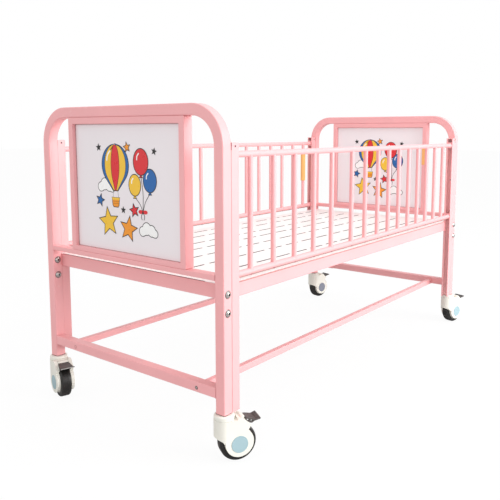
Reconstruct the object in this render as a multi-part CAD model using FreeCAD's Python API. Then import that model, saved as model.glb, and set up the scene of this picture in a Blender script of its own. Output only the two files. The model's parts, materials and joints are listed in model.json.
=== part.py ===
import FreeCAD, Part
import math
import os

# Children's hospital cot: two tubular end frames joined by a slotted steel deck and
# two low stretchers, with a drop side on each long side and four braked swivel casters.
# Millimetres, +Z up. X runs along the cot (foot end at -X, head end at +X), and Y across
# it (right side at -Y, left side at +Y). The floor is z = 0.
# In the end frames a depth d is measured inboard from the outer end plane.

V = FreeCAD.Vector

# ---- overall -------------------------------------------------------------------------
LENGTH = 1664.0            # over the outer faces of the end frames
WIDTH = 800.0              # over the legs
FRAME_TOP = 986.0          # top of the arched end tubes
LEG_FOOT = 136.0           # underside of the legs, on the casters
SEAT_GAP = 0.3             # clearance of loose, soft and inserted pieces
PIN_FIT = 0.1              # radial clearance of a turning pin
WALL = 1.5                 # wall of every steel tube
CORNER_R = 2.5             # outer corner radius of the rectangular tubes and posts

# ---- end frames ----------------------------------------------------------------------
TUBE_W = 33.0              # arched tube, seen from the end
TUBE_D = 34.0              # arched tube, along X
TUBE_BEVEL = 1.4           # its long edges
BEND_OUTER = 115.0         # outer radius of the arch bends
CROSS_BAR_Z = 510.0        # underside of the upper cross bar
CROSS_BAR_H = 16.0
BAR_D = 30.0               # depth of cross bar and lower bar
LOWER_BAR_Z = 180.0
LOWER_BAR_H = 30.0

# ---- end panels ----------------------------------------------------------------------
PANEL_HALF = 259.0         # half width over the panel frame
PANEL_SIDE = 21.0          # face width of its uprights and top bar
PANEL_SILL = 15.0          # face height of its bottom bar
BOARD_RECESS = 13.0        # front of the board behind the front of the frame
BOARD_T = 9.0
BOARD_BITE = 5.0           # how far the board enters the groove

# ---- guide posts for the drop sides ---------------------------------------------------
POST_D = 32.0              # along X
POST_W = 30.0              # across
POST_TOP = 881.0
LEFT_POST_FOOT = 186.0     # the left posts stop at the lower bar
POST_WALL = 2.5
POST_LIP = 8.0             # inboard lip that holds the slide blocks
POST_CAP = 3.0
SCREW_HEIGHTS = (541.0, 688.0, 858.0)
VENT_HOLE_R = 2.0
VENT_HOLE_Z = 871.0

# ---- deck ----------------------------------------------------------------------------
DECK_TOP = 494.0
DECK_SHEET_T = 1.5
DECK_RAIL_H = 42.0
DECK_RAIL_W = 30.0
DECK_SIDE_FACE = 375.4     # outer face of the side rails from the middle
DECK_MARGIN = 6.0          # side rail left bare outside the sheet
CROSS_MEMBERS = 4
CROSS_MEMBER_SIZE = 25.0
SLOT_LENGTH = 76.0
SLOT_WIDTH = 5.0
SLOT_PITCH = 104.0
SLOT_COUNT = 14
SLOT_ROWS = (-256.0, -147.0, -42.0, 56.0, 140.0, 238.0, 320.0)

# ---- stretchers ----------------------------------------------------------------------
STRETCHER_FACE = 305.3     # outer face from the middle
STRETCHER_W = 20.0
STRETCHER_H = 21.0
TAB_T = 4.0                # end plate of each stretcher
TAB_SCREW_Y = 261.0        # screw of the left stretcher, on its wider plate
FIXING_RISE = 13.0         # fixing screws above the underside of the lower bar

# ---- drop sides ----------------------------------------------------------------------
RAIL_Y = 388.0             # centre line of the side tubes from the middle
RAIL_R = 9.0
RAIL_TOP_Z = 849.0
RAIL_LOW_Z = 519.0
BAR_R = 8.0
BAR_WALL = 1.0
RIGHT_BAR_STARTS = (-704.0, -138.0, 147.0)     # first bar of each group, along X
RIGHT_BAR_PITCHES = (108.0, 98.0, 89.0)
RIGHT_BAR_COUNTS = (5, 3, 7)
LEFT_BAR_STARTS = (-670.0, 36.0, 232.0)
LEFT_BAR_PITCHES = (98.5, 98.0, 94.8)
LEFT_BAR_COUNTS = (7, 2, 6)
BLOCK_H = 28.0             # nylon slide block
BLOCK_D = 20.0
BLOCK_GAP = 0.5            # block to channel wall
SPIGOT_LENGTH = 18.0
GRIP_R = 12.0
GRIP_Z = 654.0
GRIP_LENGTH = 150.0

# ---- fasteners -----------------------------------------------------------------------
BOLT_R = 4.0
BOLT_HEAD_R = 10.5
BOLT_HEAD_H = 5.0
BOLT_CROWN_R = 6.5         # flat of a bolt head or cap nut
BOLT_SOCKET_R = 3.4
BOLT_SOCKET_DEPTH = 3.0
NUT_BITE = 3.5             # how far a bolt enters its cap nut
NUT_BORE = 4.0
BOLT_INSET = 17.0          # bolt centre from the end plane
BOLT_HEIGHTS = (422.0, 474.0)
SCREW_R = 2.0
SCREW_HEAD_R = 4.2
SCREW_HEAD_H = 2.2
SCREW_BITE = 12.0

# ---- marker strip --------------------------------------------------------------------
STRIP_Z = 754.0
STRIP_LENGTH = 84.0
STRIP_T = 1.5

# ---- casters, drawn with the swivel axis at x = y = 0 and the wheel trailing at +x ------
TRAIL = 36.0
WHEEL_R = 53.0
TYRE_W = 34.0
TYRE_SHOULDER = 6.0
CORE_R = 38.0
CORE_W = 33.0
CORE_RIM = 5.0             # width of the rim round the dish
CORE_DISH = 6.0
AXLE_R = 4.0
COLLAR_R = 29.0            # fixed ring under the leg
COLLAR_BEVEL = 4.5
HOUSING_R = 30.0           # swivel drum
HOUSING_W = 60.0           # over the cheeks
HOUSING_TOP = 122.5        # top of the drum, under the ring
HOUSING_BEVEL = 2.5        # bevel round the cheeks and the hood
SKIRT_Z = 74.0             # lower edge of the drum at the front
SKIRT_END_X = -9.0         # where the skirt meets the cheeks
SKIRT_END_Z = 64.0
RING_RUN = 2.0             # ring to hood
HOOD_TOP = 128.0
HOOD_END_X = 44.0
HOOD_TIP_X = 69.0
HOOD_TIP_Z = 104.0
HOOD_LIP_X = 62.0          # where the underside of the hood meets the cheeks
HOOD_LIP_Z = 92.0
CHEEK_R = 41.0
CHEEK_RISE = 5.0           # cheek centre above the axle
POCKET_RUN = 3.0           # tyre to pocket, all round
POCKET_SIDE = 1.5          # tyre to pocket, each side
CAP_R = 24.0
CAP_T = 1.8
CAP_SEAT = 1.0
STEM_R = 5.0
STEM_LENGTH = 40.0
KING_PIN_R = 8.0
KING_PIN_FOOT = 105.0
PEDAL_PIN_X = 46.0
PEDAL_PIN_Z = 121.0
PEDAL_PIN_R = 2.5
PEDAL_PIN_BITE = 8.0       # pedal pin in each cheek
NOTCH_X = 38.0             # front wall of the pedal's notch
LUG_RUN = 1.5              # lug to cheek
LUG_R = 6.0
PLATE_ROOT_X = 50.0        # foot plate, top face
PLATE_ROOT_Z = 128.0
PLATE_ROOT_W = 32.0
PLATE_TIP_X = 100.0
PLATE_TIP_Z = 117.0
PLATE_TIP_W = 48.0
PLATE_T = 4.0
LIP_LENGTH = 15.0          # level outer part of the plate
WING_T = 4.0
WING_LOW_X = 73.0          # lowest corner of a wing
WING_LOW_Z = 104.0
WING_HOLE_R = 2.8
WING_HOLES = ((63.0, 116.5), (74.0, 113.0))

# the four casters: end, side and the way each wheel trails, degrees from +X
CASTERS = (
    ("foot_right", -1, -1, -31.5),
    ("foot_left", -1, 1, -108.0),
    ("head_right", 1, -1, -15.0),
    ("head_left", 1, 1, -12.0),
)

# ---- places that follow from the sizes above --------------------------------------------
HALF_L = LENGTH / 2
HALF_W = WIDTH / 2
LEG_IN = HALF_W - TUBE_W
POST_IN = HALF_W - POST_W
POST_FACE = TUBE_D + POST_D
CROSS_BAR_TOP = CROSS_BAR_Z + CROSS_BAR_H
ARCH_UNDER = FRAME_TOP - TUBE_W
DECK_FRAME_TOP = DECK_TOP - DECK_SHEET_T
DECK_FRAME_Z = DECK_FRAME_TOP - DECK_RAIL_H
CASTER_X = HALF_L - TUBE_D / 2
CASTER_Y = HALF_W - TUBE_W / 2
FIXING_Z = LOWER_BAR_Z + FIXING_RISE
POCKET_W = TYRE_W + 2 * POCKET_SIDE
CHANNEL_MID = (POST_IN + POST_LIP + HALF_W - POST_WALL) / 2
BLOCK_FACE = POST_FACE - POST_WALL - BLOCK_GAP
ENDS = (("foot", -1), ("head", 1))
SIDES = (("right", -1), ("left", 1))


def box(x0, x1, y0, y1, z0, z1):
    """Block between two opposite corners, given in any order."""
    low = V(min(x0, x1), min(y0, y1), min(z0, z1))
    return Part.makeBox(abs(x1 - x0), abs(y1 - y0), abs(z1 - z0), low)


def end_box(end, d0, d1, y0, y1, z0, z1):
    """Block in an end frame, between depths d0 and d1 from the end plane."""
    return box(end * (HALF_L - d0), end * (HALF_L - d1), y0, y1, z0, z1)


def rounded(shape, radius, along):
    """Shape with its straight edges that run along one axis rounded."""
    edges = []
    for edge in shape.Edges:
        size = edge.BoundBox
        spans = {"x": size.XLength, "y": size.YLength, "z": size.ZLength}
        if sum(spans.values()) - spans[along] < 0.001:
            edges.append(edge)
    return shape.makeFillet(radius, edges)


def bevelled(shape, size, picked):
    """Shape with the edges that a test picks bevelled."""
    return shape.makeChamfer(size, [edge for edge in shape.Edges if picked(edge)])


def square_tube(x0, x1, y0, y1, z0, z1, along):
    """Rectangular tube, open at both ends; along is the axis it runs on, x or y."""
    lows = [min(x0, x1), min(y0, y1), min(z0, z1)]
    highs = [max(x0, x1), max(y0, y1), max(z0, z1)]
    insets = [-1 if axis == along else WALL for axis in "xyz"]
    bore_lows = [low + inset for low, inset in zip(lows, insets)]
    bore_highs = [high - inset for high, inset in zip(highs, insets)]
    outer = rounded(box(lows[0], highs[0], lows[1], highs[1], lows[2], highs[2]),
                    CORNER_R, along)
    bore = box(bore_lows[0], bore_highs[0], bore_lows[1], bore_highs[1],
               bore_lows[2], bore_highs[2])
    return outer.cut(bore)


def cross_tube(end, d0, d1, half, z0, z1):
    """Rectangular tube across an end frame, as long as twice half."""
    return square_tube(end * (HALF_L - d0), end * (HALF_L - d1), -half, half, z0, z1, "y")


def rod(radius, start, finish):
    """Round bar between two points."""
    way = finish.sub(start)
    return Part.makeCylinder(radius, way.Length, start, way)


def prism_y(points, y0, y1):
    """Outline in the XZ plane, drawn out from y0 to y1."""
    wire = Part.makePolygon([V(x, y0, z) for x, z in points + [points[0]]])
    return Part.Face(wire).extrude(V(0, y1 - y0, 0))


# ---- end frames ----------------------------------------------------------------------

def arch_face(half, top, radius):
    """Upside-down U outline in the YZ plane, down to the foot of the legs."""
    turn = radius * (1 - math.sqrt(0.5))
    left_foot = V(0, -half, LEG_FOOT)
    left_knee = V(0, -half, top - radius)
    left_mid = V(0, -half + turn, top - turn)
    left_top = V(0, -half + radius, top)
    right_top = V(0, half - radius, top)
    right_mid = V(0, half - turn, top - turn)
    right_knee = V(0, half, top - radius)
    right_foot = V(0, half, LEG_FOOT)
    edges = [
        Part.LineSegment(left_foot, left_knee).toShape(),
        Part.Arc(left_knee, left_mid, left_top).toShape(),
        Part.LineSegment(left_top, right_top).toShape(),
        Part.Arc(right_top, right_mid, right_knee).toShape(),
        Part.LineSegment(right_knee, right_foot).toShape(),
        Part.LineSegment(right_foot, left_foot).toShape(),
    ]
    return Part.Face(Part.Wire(edges))


def leg_bolt_axes(end):
    """Start and finish of each leg bolt, from the outer face of the leg inward."""
    x = end * (HALF_L - BOLT_INSET)
    axes = []
    for _, side in SIDES:
        for z in BOLT_HEIGHTS:
            axes.append((V(x, side * HALF_W, z), V(x, side * LEG_IN, z)))
    return axes


def guide_screw_places(end, side):
    """Seats of the screws that hold a guide post to its leg, on the channel's web."""
    x = end * (HALF_L - TUBE_D - POST_WALL)
    return [V(x, side * CHANNEL_MID, z) for z in SCREW_HEIGHTS]


def end_tube(end):
    """Arched tube with its legs, drilled for the bolts and screws."""
    skin = arch_face(HALF_W, FRAME_TOP, BEND_OUTER)
    skin = skin.cut(arch_face(LEG_IN, ARCH_UNDER, BEND_OUTER - TUBE_W))
    hollow = arch_face(HALF_W - WALL, FRAME_TOP - WALL, BEND_OUTER - WALL)
    hollow = hollow.cut(arch_face(LEG_IN + WALL, ARCH_UNDER + WALL,
                                  BEND_OUTER - TUBE_W + WALL))
    back = HALF_L - TUBE_D if end > 0 else -HALF_L
    tube = skin.extrude(V(TUBE_D, 0, 0))
    tube = bevelled(tube, TUBE_BEVEL, lambda edge: edge.BoundBox.XLength < 0.001
                    and edge.BoundBox.ZMax > LEG_FOOT + 1)
    core = hollow.extrude(V(TUBE_D - 2 * WALL, 0, 0))
    tube.translate(V(back, 0, 0))
    core.translate(V(back + WALL, 0, 0))
    bores = [core]
    for start, finish in leg_bolt_axes(end):
        bores.append(rod(BOLT_R + PIN_FIT, start, finish))
    for _, side in SIDES:
        for seat in guide_screw_places(end, side):
            tip = seat.add(V(end * SCREW_BITE, 0, 0))
            bores.append(rod(SCREW_R + PIN_FIT, seat, tip))
    return tube.cut(bores)


def cross_bar(end):
    """Bar under the end panel, from leg to leg."""
    return cross_tube(end, 0, BAR_D, LEG_IN, CROSS_BAR_Z, CROSS_BAR_TOP)


def fixing_places(end):
    """Seats of the stretcher screws on the outer face of a lower bar."""
    x = end * HALF_L
    right = -(STRETCHER_FACE - STRETCHER_W / 2)
    return [V(x, right, FIXING_Z), V(x, TAB_SCREW_Y, FIXING_Z)]


def lower_bar(end):
    """Bar low between the legs, drilled for the stretcher screws."""
    top = LOWER_BAR_Z + LOWER_BAR_H
    bar = cross_tube(end, 0, BAR_D, LEG_IN, LOWER_BAR_Z, top)
    holes = []
    for seat in fixing_places(end):
        holes.append(rod(SCREW_R + PIN_FIT, seat, seat.sub(V(end * BAR_D, 0, 0))))
    return bar.cut(holes)


def panel_frame(end):
    """Mitred frame of hollow tube under the arch, slit inside for the board."""
    low = CROSS_BAR_TOP
    top = ARCH_UNDER
    sill = low + PANEL_SILL
    head = top - PANEL_SIDE
    inner = PANEL_HALF - PANEL_SIDE
    frame = end_box(end, 0, TUBE_D, -PANEL_HALF, PANEL_HALF, low, top)
    window = end_box(end, -1, TUBE_D + 1, -inner, inner, sill, head)
    hollow = end_box(end, WALL, TUBE_D - WALL, -PANEL_HALF + WALL, PANEL_HALF - WALL,
                     low + WALL, top - WALL)
    hollow = hollow.cut(end_box(end, 0, TUBE_D, -inner - WALL, inner + WALL,
                                sill - WALL, head + WALL))
    bite = BOARD_BITE + SEAT_GAP
    slit = end_box(end, BOARD_RECESS - SEAT_GAP, BOARD_RECESS + BOARD_T + SEAT_GAP,
                   -inner - bite, inner + bite, sill - bite, head + bite)
    return frame.cut([window, hollow, slit])


def panel_board(end):
    """Plain board held in the groove of the panel frame."""
    half = PANEL_HALF - PANEL_SIDE + BOARD_BITE
    low = CROSS_BAR_TOP + PANEL_SILL - BOARD_BITE
    high = ARCH_UNDER - PANEL_SIDE + BOARD_BITE
    return end_box(end, BOARD_RECESS, BOARD_RECESS + BOARD_T, -half, half, low, high)


def guide_post(end, side):
    """Channel behind a leg, open toward the drop side, with one inboard lip."""
    foot = LEG_FOOT if side < 0 else LEFT_POST_FOOT
    post = end_box(end, TUBE_D, POST_FACE, side * POST_IN, side * HALF_W, foot, POST_TOP)
    post = rounded(post, CORNER_R, "z")
    channel = end_box(end, TUBE_D + POST_WALL, POST_FACE - POST_WALL,
                      side * (POST_IN + POST_WALL), side * (HALF_W - POST_WALL),
                      foot - 1, POST_TOP - POST_CAP)
    mouth = end_box(end, POST_FACE - POST_WALL - 1, POST_FACE + 1,
                    side * (POST_IN + POST_LIP), side * (HALF_W - POST_WALL),
                    foot - 1, POST_TOP - POST_CAP)
    x = end * (HALF_L - TUBE_D - POST_D / 2)
    vent = rod(VENT_HOLE_R, V(x, side * (POST_IN - 1), VENT_HOLE_Z),
               V(x, side * (HALF_W + 1), VENT_HOLE_Z))
    cuts = [channel, mouth, vent]
    for seat in guide_screw_places(end, side):
        cuts.append(rod(SCREW_R + PIN_FIT, seat, seat.add(V(end * POST_WALL, 0, 0))))
    return post.cut(cuts)


def panel_strip():
    """Coloured strip on the inner face of the head panel's right upright."""
    return end_box(1, TUBE_D, TUBE_D + STRIP_T, -PANEL_HALF, -PANEL_HALF + PANEL_SIDE,
                   STRIP_Z, STRIP_Z + STRIP_LENGTH)


# ---- deck and stretchers -----------------------------------------------------------------

def deck_side_rail(side):
    """Long deck tube between the guide posts."""
    reach = HALF_L - POST_FACE
    inner = side * (DECK_SIDE_FACE - DECK_RAIL_W)
    return square_tube(-reach, reach, inner, side * DECK_SIDE_FACE,
                       DECK_FRAME_Z, DECK_FRAME_TOP, "x")


def deck_end_rail(end):
    """Short deck tube across, between the inner faces of two guide posts."""
    return cross_tube(end, TUBE_D, POST_FACE, POST_IN, DECK_FRAME_Z, DECK_FRAME_TOP)


def deck_cross_members():
    """Square tubes under the sheet, evenly spaced between the end rails."""
    inner = DECK_SIDE_FACE - DECK_RAIL_W
    step = 2 * (HALF_L - POST_FACE) / (CROSS_MEMBERS + 1)
    low = DECK_FRAME_TOP - CROSS_MEMBER_SIZE
    members = []
    for i in range(CROSS_MEMBERS):
        x = -(HALF_L - POST_FACE) + step * (i + 1)
        members.append(square_tube(x - CROSS_MEMBER_SIZE / 2, x + CROSS_MEMBER_SIZE / 2,
                                   -inner, inner, low, DECK_FRAME_TOP, "y"))
    return Part.makeCompound(members)


def deck_sheet():
    """White steel sheet on the deck frame, with rows of ventilation slots."""
    half_x = HALF_L - TUBE_D - SEAT_GAP
    half_y = DECK_SIDE_FACE - DECK_MARGIN
    sheet = box(-half_x, half_x, -half_y, half_y, DECK_FRAME_TOP, DECK_TOP)
    slots = []
    first = -SLOT_PITCH * (SLOT_COUNT - 1) / 2
    for y in SLOT_ROWS:
        for i in range(SLOT_COUNT):
            x = first + SLOT_PITCH * i
            slots.append(box(x - SLOT_LENGTH / 2, x + SLOT_LENGTH / 2,
                             y - SLOT_WIDTH / 2, y + SLOT_WIDTH / 2,
                             DECK_FRAME_TOP - 1, DECK_TOP + 1))
    return sheet.cut(slots)


def stretcher(side):
    """Low tube from lower bar to lower bar, with a plate on each end for its screw."""
    reach = HALF_L - BAR_D
    top = LOWER_BAR_Z + STRETCHER_H
    inner = side * (STRETCHER_FACE - STRETCHER_W)
    bar = square_tube(-reach, reach, inner, side * STRETCHER_FACE, LOWER_BAR_Z, top, "x")
    plate_edge = TAB_SCREW_Y - STRETCHER_H / 2 if side > 0 else inner
    plates = []
    pilots = []
    for _, end in ENDS:
        plates.append(box(end * reach, end * (reach - TAB_T), plate_edge,
                          side * STRETCHER_FACE, LOWER_BAR_Z, top))
        for seat in fixing_places(end):
            start = V(end * reach, seat.y, seat.z)
            finish = start.sub(V(end * TAB_T, 0, 0))
            pilots.append(rod(SCREW_R + PIN_FIT, start, finish))
    return bar.multiFuse(plates).cut(pilots).removeSplitter()


# ---- fasteners -----------------------------------------------------------------------

def leg_bolts():
    """Domed socket-head bolts, heads on the outer faces of the legs."""
    bolts = []
    for _, end in ENDS:
        for start, finish in leg_bolt_axes(end):
            inward = finish.sub(start).normalize()
            out = start.sub(inward * BOLT_HEAD_H)
            head = Part.makeCone(BOLT_HEAD_R, BOLT_CROWN_R, BOLT_HEAD_H, start, inward * -1)
            socket = rod(BOLT_SOCKET_R, out, out.add(inward * BOLT_SOCKET_DEPTH))
            tip = finish.add(inward * NUT_BITE)
            bolts.append(head.cut(socket).fuse(rod(BOLT_R, start, tip)))
    return Part.makeCompound(bolts)


def leg_nuts():
    """Cap nuts on the inner faces of the legs."""
    nuts = []
    for _, end in ENDS:
        for start, finish in leg_bolt_axes(end):
            inward = finish.sub(start).normalize()
            nut = Part.makeCone(BOLT_HEAD_R, BOLT_CROWN_R, BOLT_HEAD_H, finish, inward)
            bore = rod(BOLT_R + PIN_FIT, finish, finish.add(inward * NUT_BORE))
            nuts.append(nut.cut(bore))
    return Part.makeCompound(nuts)


def small_screw(seat, inward, length):
    """Pan-head screw with its head seated at a point."""
    shank = rod(SCREW_R, seat, seat.add(inward * length))
    head = rod(SCREW_HEAD_R, seat, seat.sub(inward * SCREW_HEAD_H))
    return head.fuse(shank)


def small_screws():
    """Screws of the guide posts and of the stretchers."""
    screws = []
    for _, end in ENDS:
        outward = V(end, 0, 0)
        for _, side in SIDES:
            for seat in guide_screw_places(end, side):
                screws.append(small_screw(seat, outward, SCREW_BITE))
        for seat in fixing_places(end):
            screws.append(small_screw(seat, outward * -1, BAR_D + SCREW_BITE))
    return Part.makeCompound(screws)


# ---- drop sides ----------------------------------------------------------------------

def rail_tube(side, z):
    """Round tube along one side, from slide block to slide block."""
    reach = HALF_L - BLOCK_FACE
    start = V(-reach, side * RAIL_Y, z)
    finish = V(reach, side * RAIL_Y, z)
    return rod(RAIL_R, start, finish).cut(rod(RAIL_R - WALL, start, finish))


def bar_places(side):
    """X of each upright bar, from the spacing groups of that side."""
    right = (RIGHT_BAR_STARTS, RIGHT_BAR_PITCHES, RIGHT_BAR_COUNTS)
    left = (LEFT_BAR_STARTS, LEFT_BAR_PITCHES, LEFT_BAR_COUNTS)
    places = []
    for first, pitch, count in zip(*(right if side < 0 else left)):
        for i in range(count):
            places.append(first + pitch * i)
    return places


def rail_bars(side):
    """Upright round bars, saddled onto the two tubes."""
    y = side * RAIL_Y
    reach = HALF_L
    tubes = [rod(RAIL_R, V(-reach, y, z), V(reach, y, z)) for z in (RAIL_LOW_Z, RAIL_TOP_Z)]
    bars = []
    for x in bar_places(side):
        low = V(x, y, RAIL_LOW_Z)
        high = V(x, y, RAIL_TOP_Z)
        bar = rod(BAR_R, low, high)
        bars.append(bar.cut([rod(BAR_R - BAR_WALL, low, high)] + tubes))
    return Part.makeCompound(bars)


def slide_blocks(side):
    """Nylon blocks on the tube ends, running in the guide posts."""
    blocks = []
    for _, end in ENDS:
        for z in (RAIL_LOW_Z, RAIL_TOP_Z):
            block = end_box(end, BLOCK_FACE - BLOCK_D, BLOCK_FACE,
                            side * (POST_IN + POST_WALL + BLOCK_GAP),
                            side * (HALF_W - POST_WALL - BLOCK_GAP),
                            z - BLOCK_H / 2, z + BLOCK_H / 2)
            root = V(end * (HALF_L - BLOCK_FACE), side * RAIL_Y, z)
            tip = root.sub(V(end * SPIGOT_LENGTH, 0, 0))
            blocks.append(block.fuse(rod(RAIL_R - WALL - PIN_FIT, root, tip)))
    return Part.makeCompound(blocks)


def rail_grip():
    """Soft sleeve on the left side's last bar toward the head."""
    x = bar_places(1)[-1]
    foot = V(x, RAIL_Y, GRIP_Z)
    top = V(x, RAIL_Y, GRIP_Z + GRIP_LENGTH)
    return rod(GRIP_R, foot, top).cut(rod(BAR_R + SEAT_GAP, foot, top))


# ---- casters -------------------------------------------------------------------------

def placed(shape, end, side, angle):
    """Turn a caster piece to its trailing angle and set it under its leg."""
    shape.rotate(V(0, 0, 0), V(0, 0, 1), angle)
    shape.translate(V(end * CASTER_X, side * CASTER_Y, 0))
    return shape


def caster_stems():
    """Fixed rings with the stem into the leg and the king pin down into the housing."""
    stems = []
    for _, end, side, _ in CASTERS:
        x = end * CASTER_X
        y = side * CASTER_Y
        under = HOUSING_TOP + SEAT_GAP
        ring = rod(COLLAR_R, V(x, y, under), V(x, y, LEG_FOOT))
        ring = bevelled(ring, COLLAR_BEVEL, lambda edge: edge.BoundBox.ZMin > LEG_FOOT - 1)
        stem = rod(STEM_R, V(x, y, LEG_FOOT), V(x, y, LEG_FOOT + STEM_LENGTH))
        pin = rod(KING_PIN_R, V(x, y, KING_PIN_FOOT), V(x, y, under))
        stems.append(ring.multiFuse([stem, pin]))
    return Part.makeCompound(stems)


def across(radius, x, z, half):
    """Round bar across the caster, as long as twice half."""
    return rod(radius, V(x, -half, z), V(x, half, z))


def housing_drum():
    """Swivel drum, with its skirt cut on a slope toward the cheeks."""
    drum = rod(HOUSING_R, V(0, 0, SKIRT_END_Z), V(0, 0, HOUSING_TOP))
    reach = HOUSING_R + 1
    under = prism_y([(-reach, SKIRT_END_Z - 1), (-reach, SKIRT_Z), (-HOUSING_R, SKIRT_Z),
                     (SKIRT_END_X, SKIRT_END_Z), (SKIRT_END_X, SKIRT_END_Z - 1)],
                    -reach, reach)
    return drum.cut(under)


def housing_hood():
    """Hood from the drum back over the pedal's root, with bevelled side edges."""
    half = HOUSING_W / 2
    cheek_z = WHEEL_R + CHEEK_RISE
    back_x = COLLAR_R + RING_RUN
    hood = prism_y([
        (0, cheek_z), (0, HOUSING_TOP), (back_x, HOUSING_TOP),
        (back_x, HOOD_TOP), (HOOD_END_X, HOOD_TOP), (HOOD_TIP_X, HOOD_TIP_Z),
        (HOOD_LIP_X, HOOD_LIP_Z), (TRAIL, cheek_z),
    ], -half, half)

    def outer_rim(edge):
        size = edge.BoundBox
        on_side = size.YLength < 0.001
        return on_side and size.XMax > HOOD_END_X - 0.001 and size.ZMin > HOOD_LIP_Z - 1

    return bevelled(hood, HOUSING_BEVEL, outer_rim)


def housing_form():
    """Outer form of the housing: drum, hood and the round cheeks beside the wheel."""
    half = HOUSING_W / 2
    cheeks = across(CHEEK_R, TRAIL, WHEEL_R + CHEEK_RISE, half)
    cheeks = bevelled(cheeks, HOUSING_BEVEL, lambda edge: edge.BoundBox.YLength < 0.001)
    return housing_drum().multiFuse([housing_hood(), cheeks])


def caster_housing():
    """Moulded housing, open below and behind for the wheel and notched for the pedal."""
    half = HOUSING_W / 2
    pocket = across(WHEEL_R + POCKET_RUN, TRAIL, WHEEL_R, POCKET_W / 2)
    king_bore = rod(KING_PIN_R + PIN_FIT, V(0, 0, KING_PIN_FOOT - 1), V(0, 0, HOOD_TOP))
    notch = box(NOTCH_X, TRAIL + WHEEL_R, -POCKET_W / 2, POCKET_W / 2, WHEEL_R, HOOD_TOP + 1)
    cuts = [pocket, king_bore, notch, across(AXLE_R, TRAIL, WHEEL_R, half),
            across(PEDAL_PIN_R, PEDAL_PIN_X, PEDAL_PIN_Z, POCKET_W / 2 + PEDAL_PIN_BITE)]
    for face in (-1, 1):
        cuts.append(rod(CAP_R + SEAT_GAP, V(TRAIL, face * (half - CAP_SEAT), WHEEL_R),
                        V(TRAIL, face * (half + 1), WHEEL_R)))
    return housing_form().cut(cuts)


def caster_axle():
    """Wheel axle and pedal pin, both fixed in the housing."""
    axle = across(AXLE_R, TRAIL, WHEEL_R, HOUSING_W / 2 - CAP_SEAT)
    pin = across(PEDAL_PIN_R, PEDAL_PIN_X, PEDAL_PIN_Z, POCKET_W / 2 + PEDAL_PIN_BITE)
    return Part.makeCompound([axle, pin])


def caster_hub_caps():
    """Round caps over the axle ends."""
    seat = HOUSING_W / 2 - CAP_SEAT
    caps = []
    for face in (-1, 1):
        caps.append(rod(CAP_R, V(TRAIL, face * seat, WHEEL_R),
                        V(TRAIL, face * (seat + CAP_T), WHEEL_R)))
    return Part.makeCompound(caps)


def turned(profile):
    """Revolve an outline of (radius, width) points about the wheel's axle."""
    points = [V(TRAIL + r, y, WHEEL_R) for r, y in profile]
    face = Part.Face(Part.makePolygon(points + [points[0]]))
    return face.revolve(V(TRAIL, 0, WHEEL_R), V(0, 1, 0), 360)


def wheel_core():
    """Wheel centre, dished on both faces and bored for the axle."""
    half = CORE_W / 2
    dish = half - CORE_DISH
    bore = AXLE_R + PIN_FIT
    rim = CORE_R - CORE_RIM
    return turned([
        (bore, -dish), (rim, -dish), (rim, -half), (CORE_R, -half),
        (CORE_R, half), (rim, half), (rim, dish), (bore, dish),
    ])


def wheel_tyre():
    """Rubber tyre with sloped shoulders."""
    inner = CORE_R + SEAT_GAP
    half = TYRE_W / 2
    return turned([
        (inner, -half), (WHEEL_R - TYRE_SHOULDER, -half), (WHEEL_R, -half + TYRE_SHOULDER),
        (WHEEL_R, half - TYRE_SHOULDER), (WHEEL_R - TYRE_SHOULDER, half), (inner, half),
    ])


def foot_plate():
    """Sloping plate that widens toward its level outer lip."""
    bend_x = PLATE_TIP_X - LIP_LENGTH
    side_form = prism_y([
        (PLATE_ROOT_X, PLATE_ROOT_Z), (bend_x, PLATE_TIP_Z), (PLATE_TIP_X, PLATE_TIP_Z),
        (PLATE_TIP_X, PLATE_TIP_Z - PLATE_T), (bend_x, PLATE_TIP_Z - PLATE_T),
        (PLATE_ROOT_X, PLATE_ROOT_Z - PLATE_T),
    ], -PLATE_TIP_W / 2, PLATE_TIP_W / 2)
    corners = [(PLATE_ROOT_X, -PLATE_ROOT_W / 2), (PLATE_TIP_X, -PLATE_TIP_W / 2),
               (PLATE_TIP_X, PLATE_TIP_W / 2), (PLATE_ROOT_X, PLATE_ROOT_W / 2)]
    wire = Part.makePolygon([V(x, y, 0) for x, y in corners + [corners[0]]])
    return side_form.common(Part.Face(wire).extrude(V(0, 0, PLATE_ROOT_Z)))


def brake_pedal():
    """Foot plate on two pierced wings, with the lug that turns on the pedal pin."""
    lug_half = POCKET_W / 2 - LUG_RUN
    lug = across(LUG_R, PEDAL_PIN_X, PEDAL_PIN_Z, lug_half)
    top = PLATE_ROOT_Z - PLATE_T / 2
    wing_outline = [
        (PEDAL_PIN_X, PEDAL_PIN_Z + LUG_R), (PLATE_ROOT_X, top),
        (PLATE_TIP_X - LIP_LENGTH, PLATE_TIP_Z - PLATE_T / 2),
        (PLATE_TIP_X - WING_T, PLATE_TIP_Z - PLATE_T / 2), (WING_LOW_X, WING_LOW_Z),
        (PEDAL_PIN_X + LUG_R, PEDAL_PIN_Z - LUG_R),
    ]
    wings = []
    for face in (-1, 1):
        wings.append(prism_y(wing_outline, face * lug_half, face * (lug_half - WING_T)))
    bores = [across(PEDAL_PIN_R + PIN_FIT, PEDAL_PIN_X, PEDAL_PIN_Z, PLATE_TIP_W)]
    for x, z in WING_HOLES:
        bores.append(across(WING_HOLE_R, x, z, PLATE_TIP_W))
    return foot_plate().multiFuse([lug] + wings).cut(bores).removeSplitter()


# ---- assembly ------------------------------------------------------------------------

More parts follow.
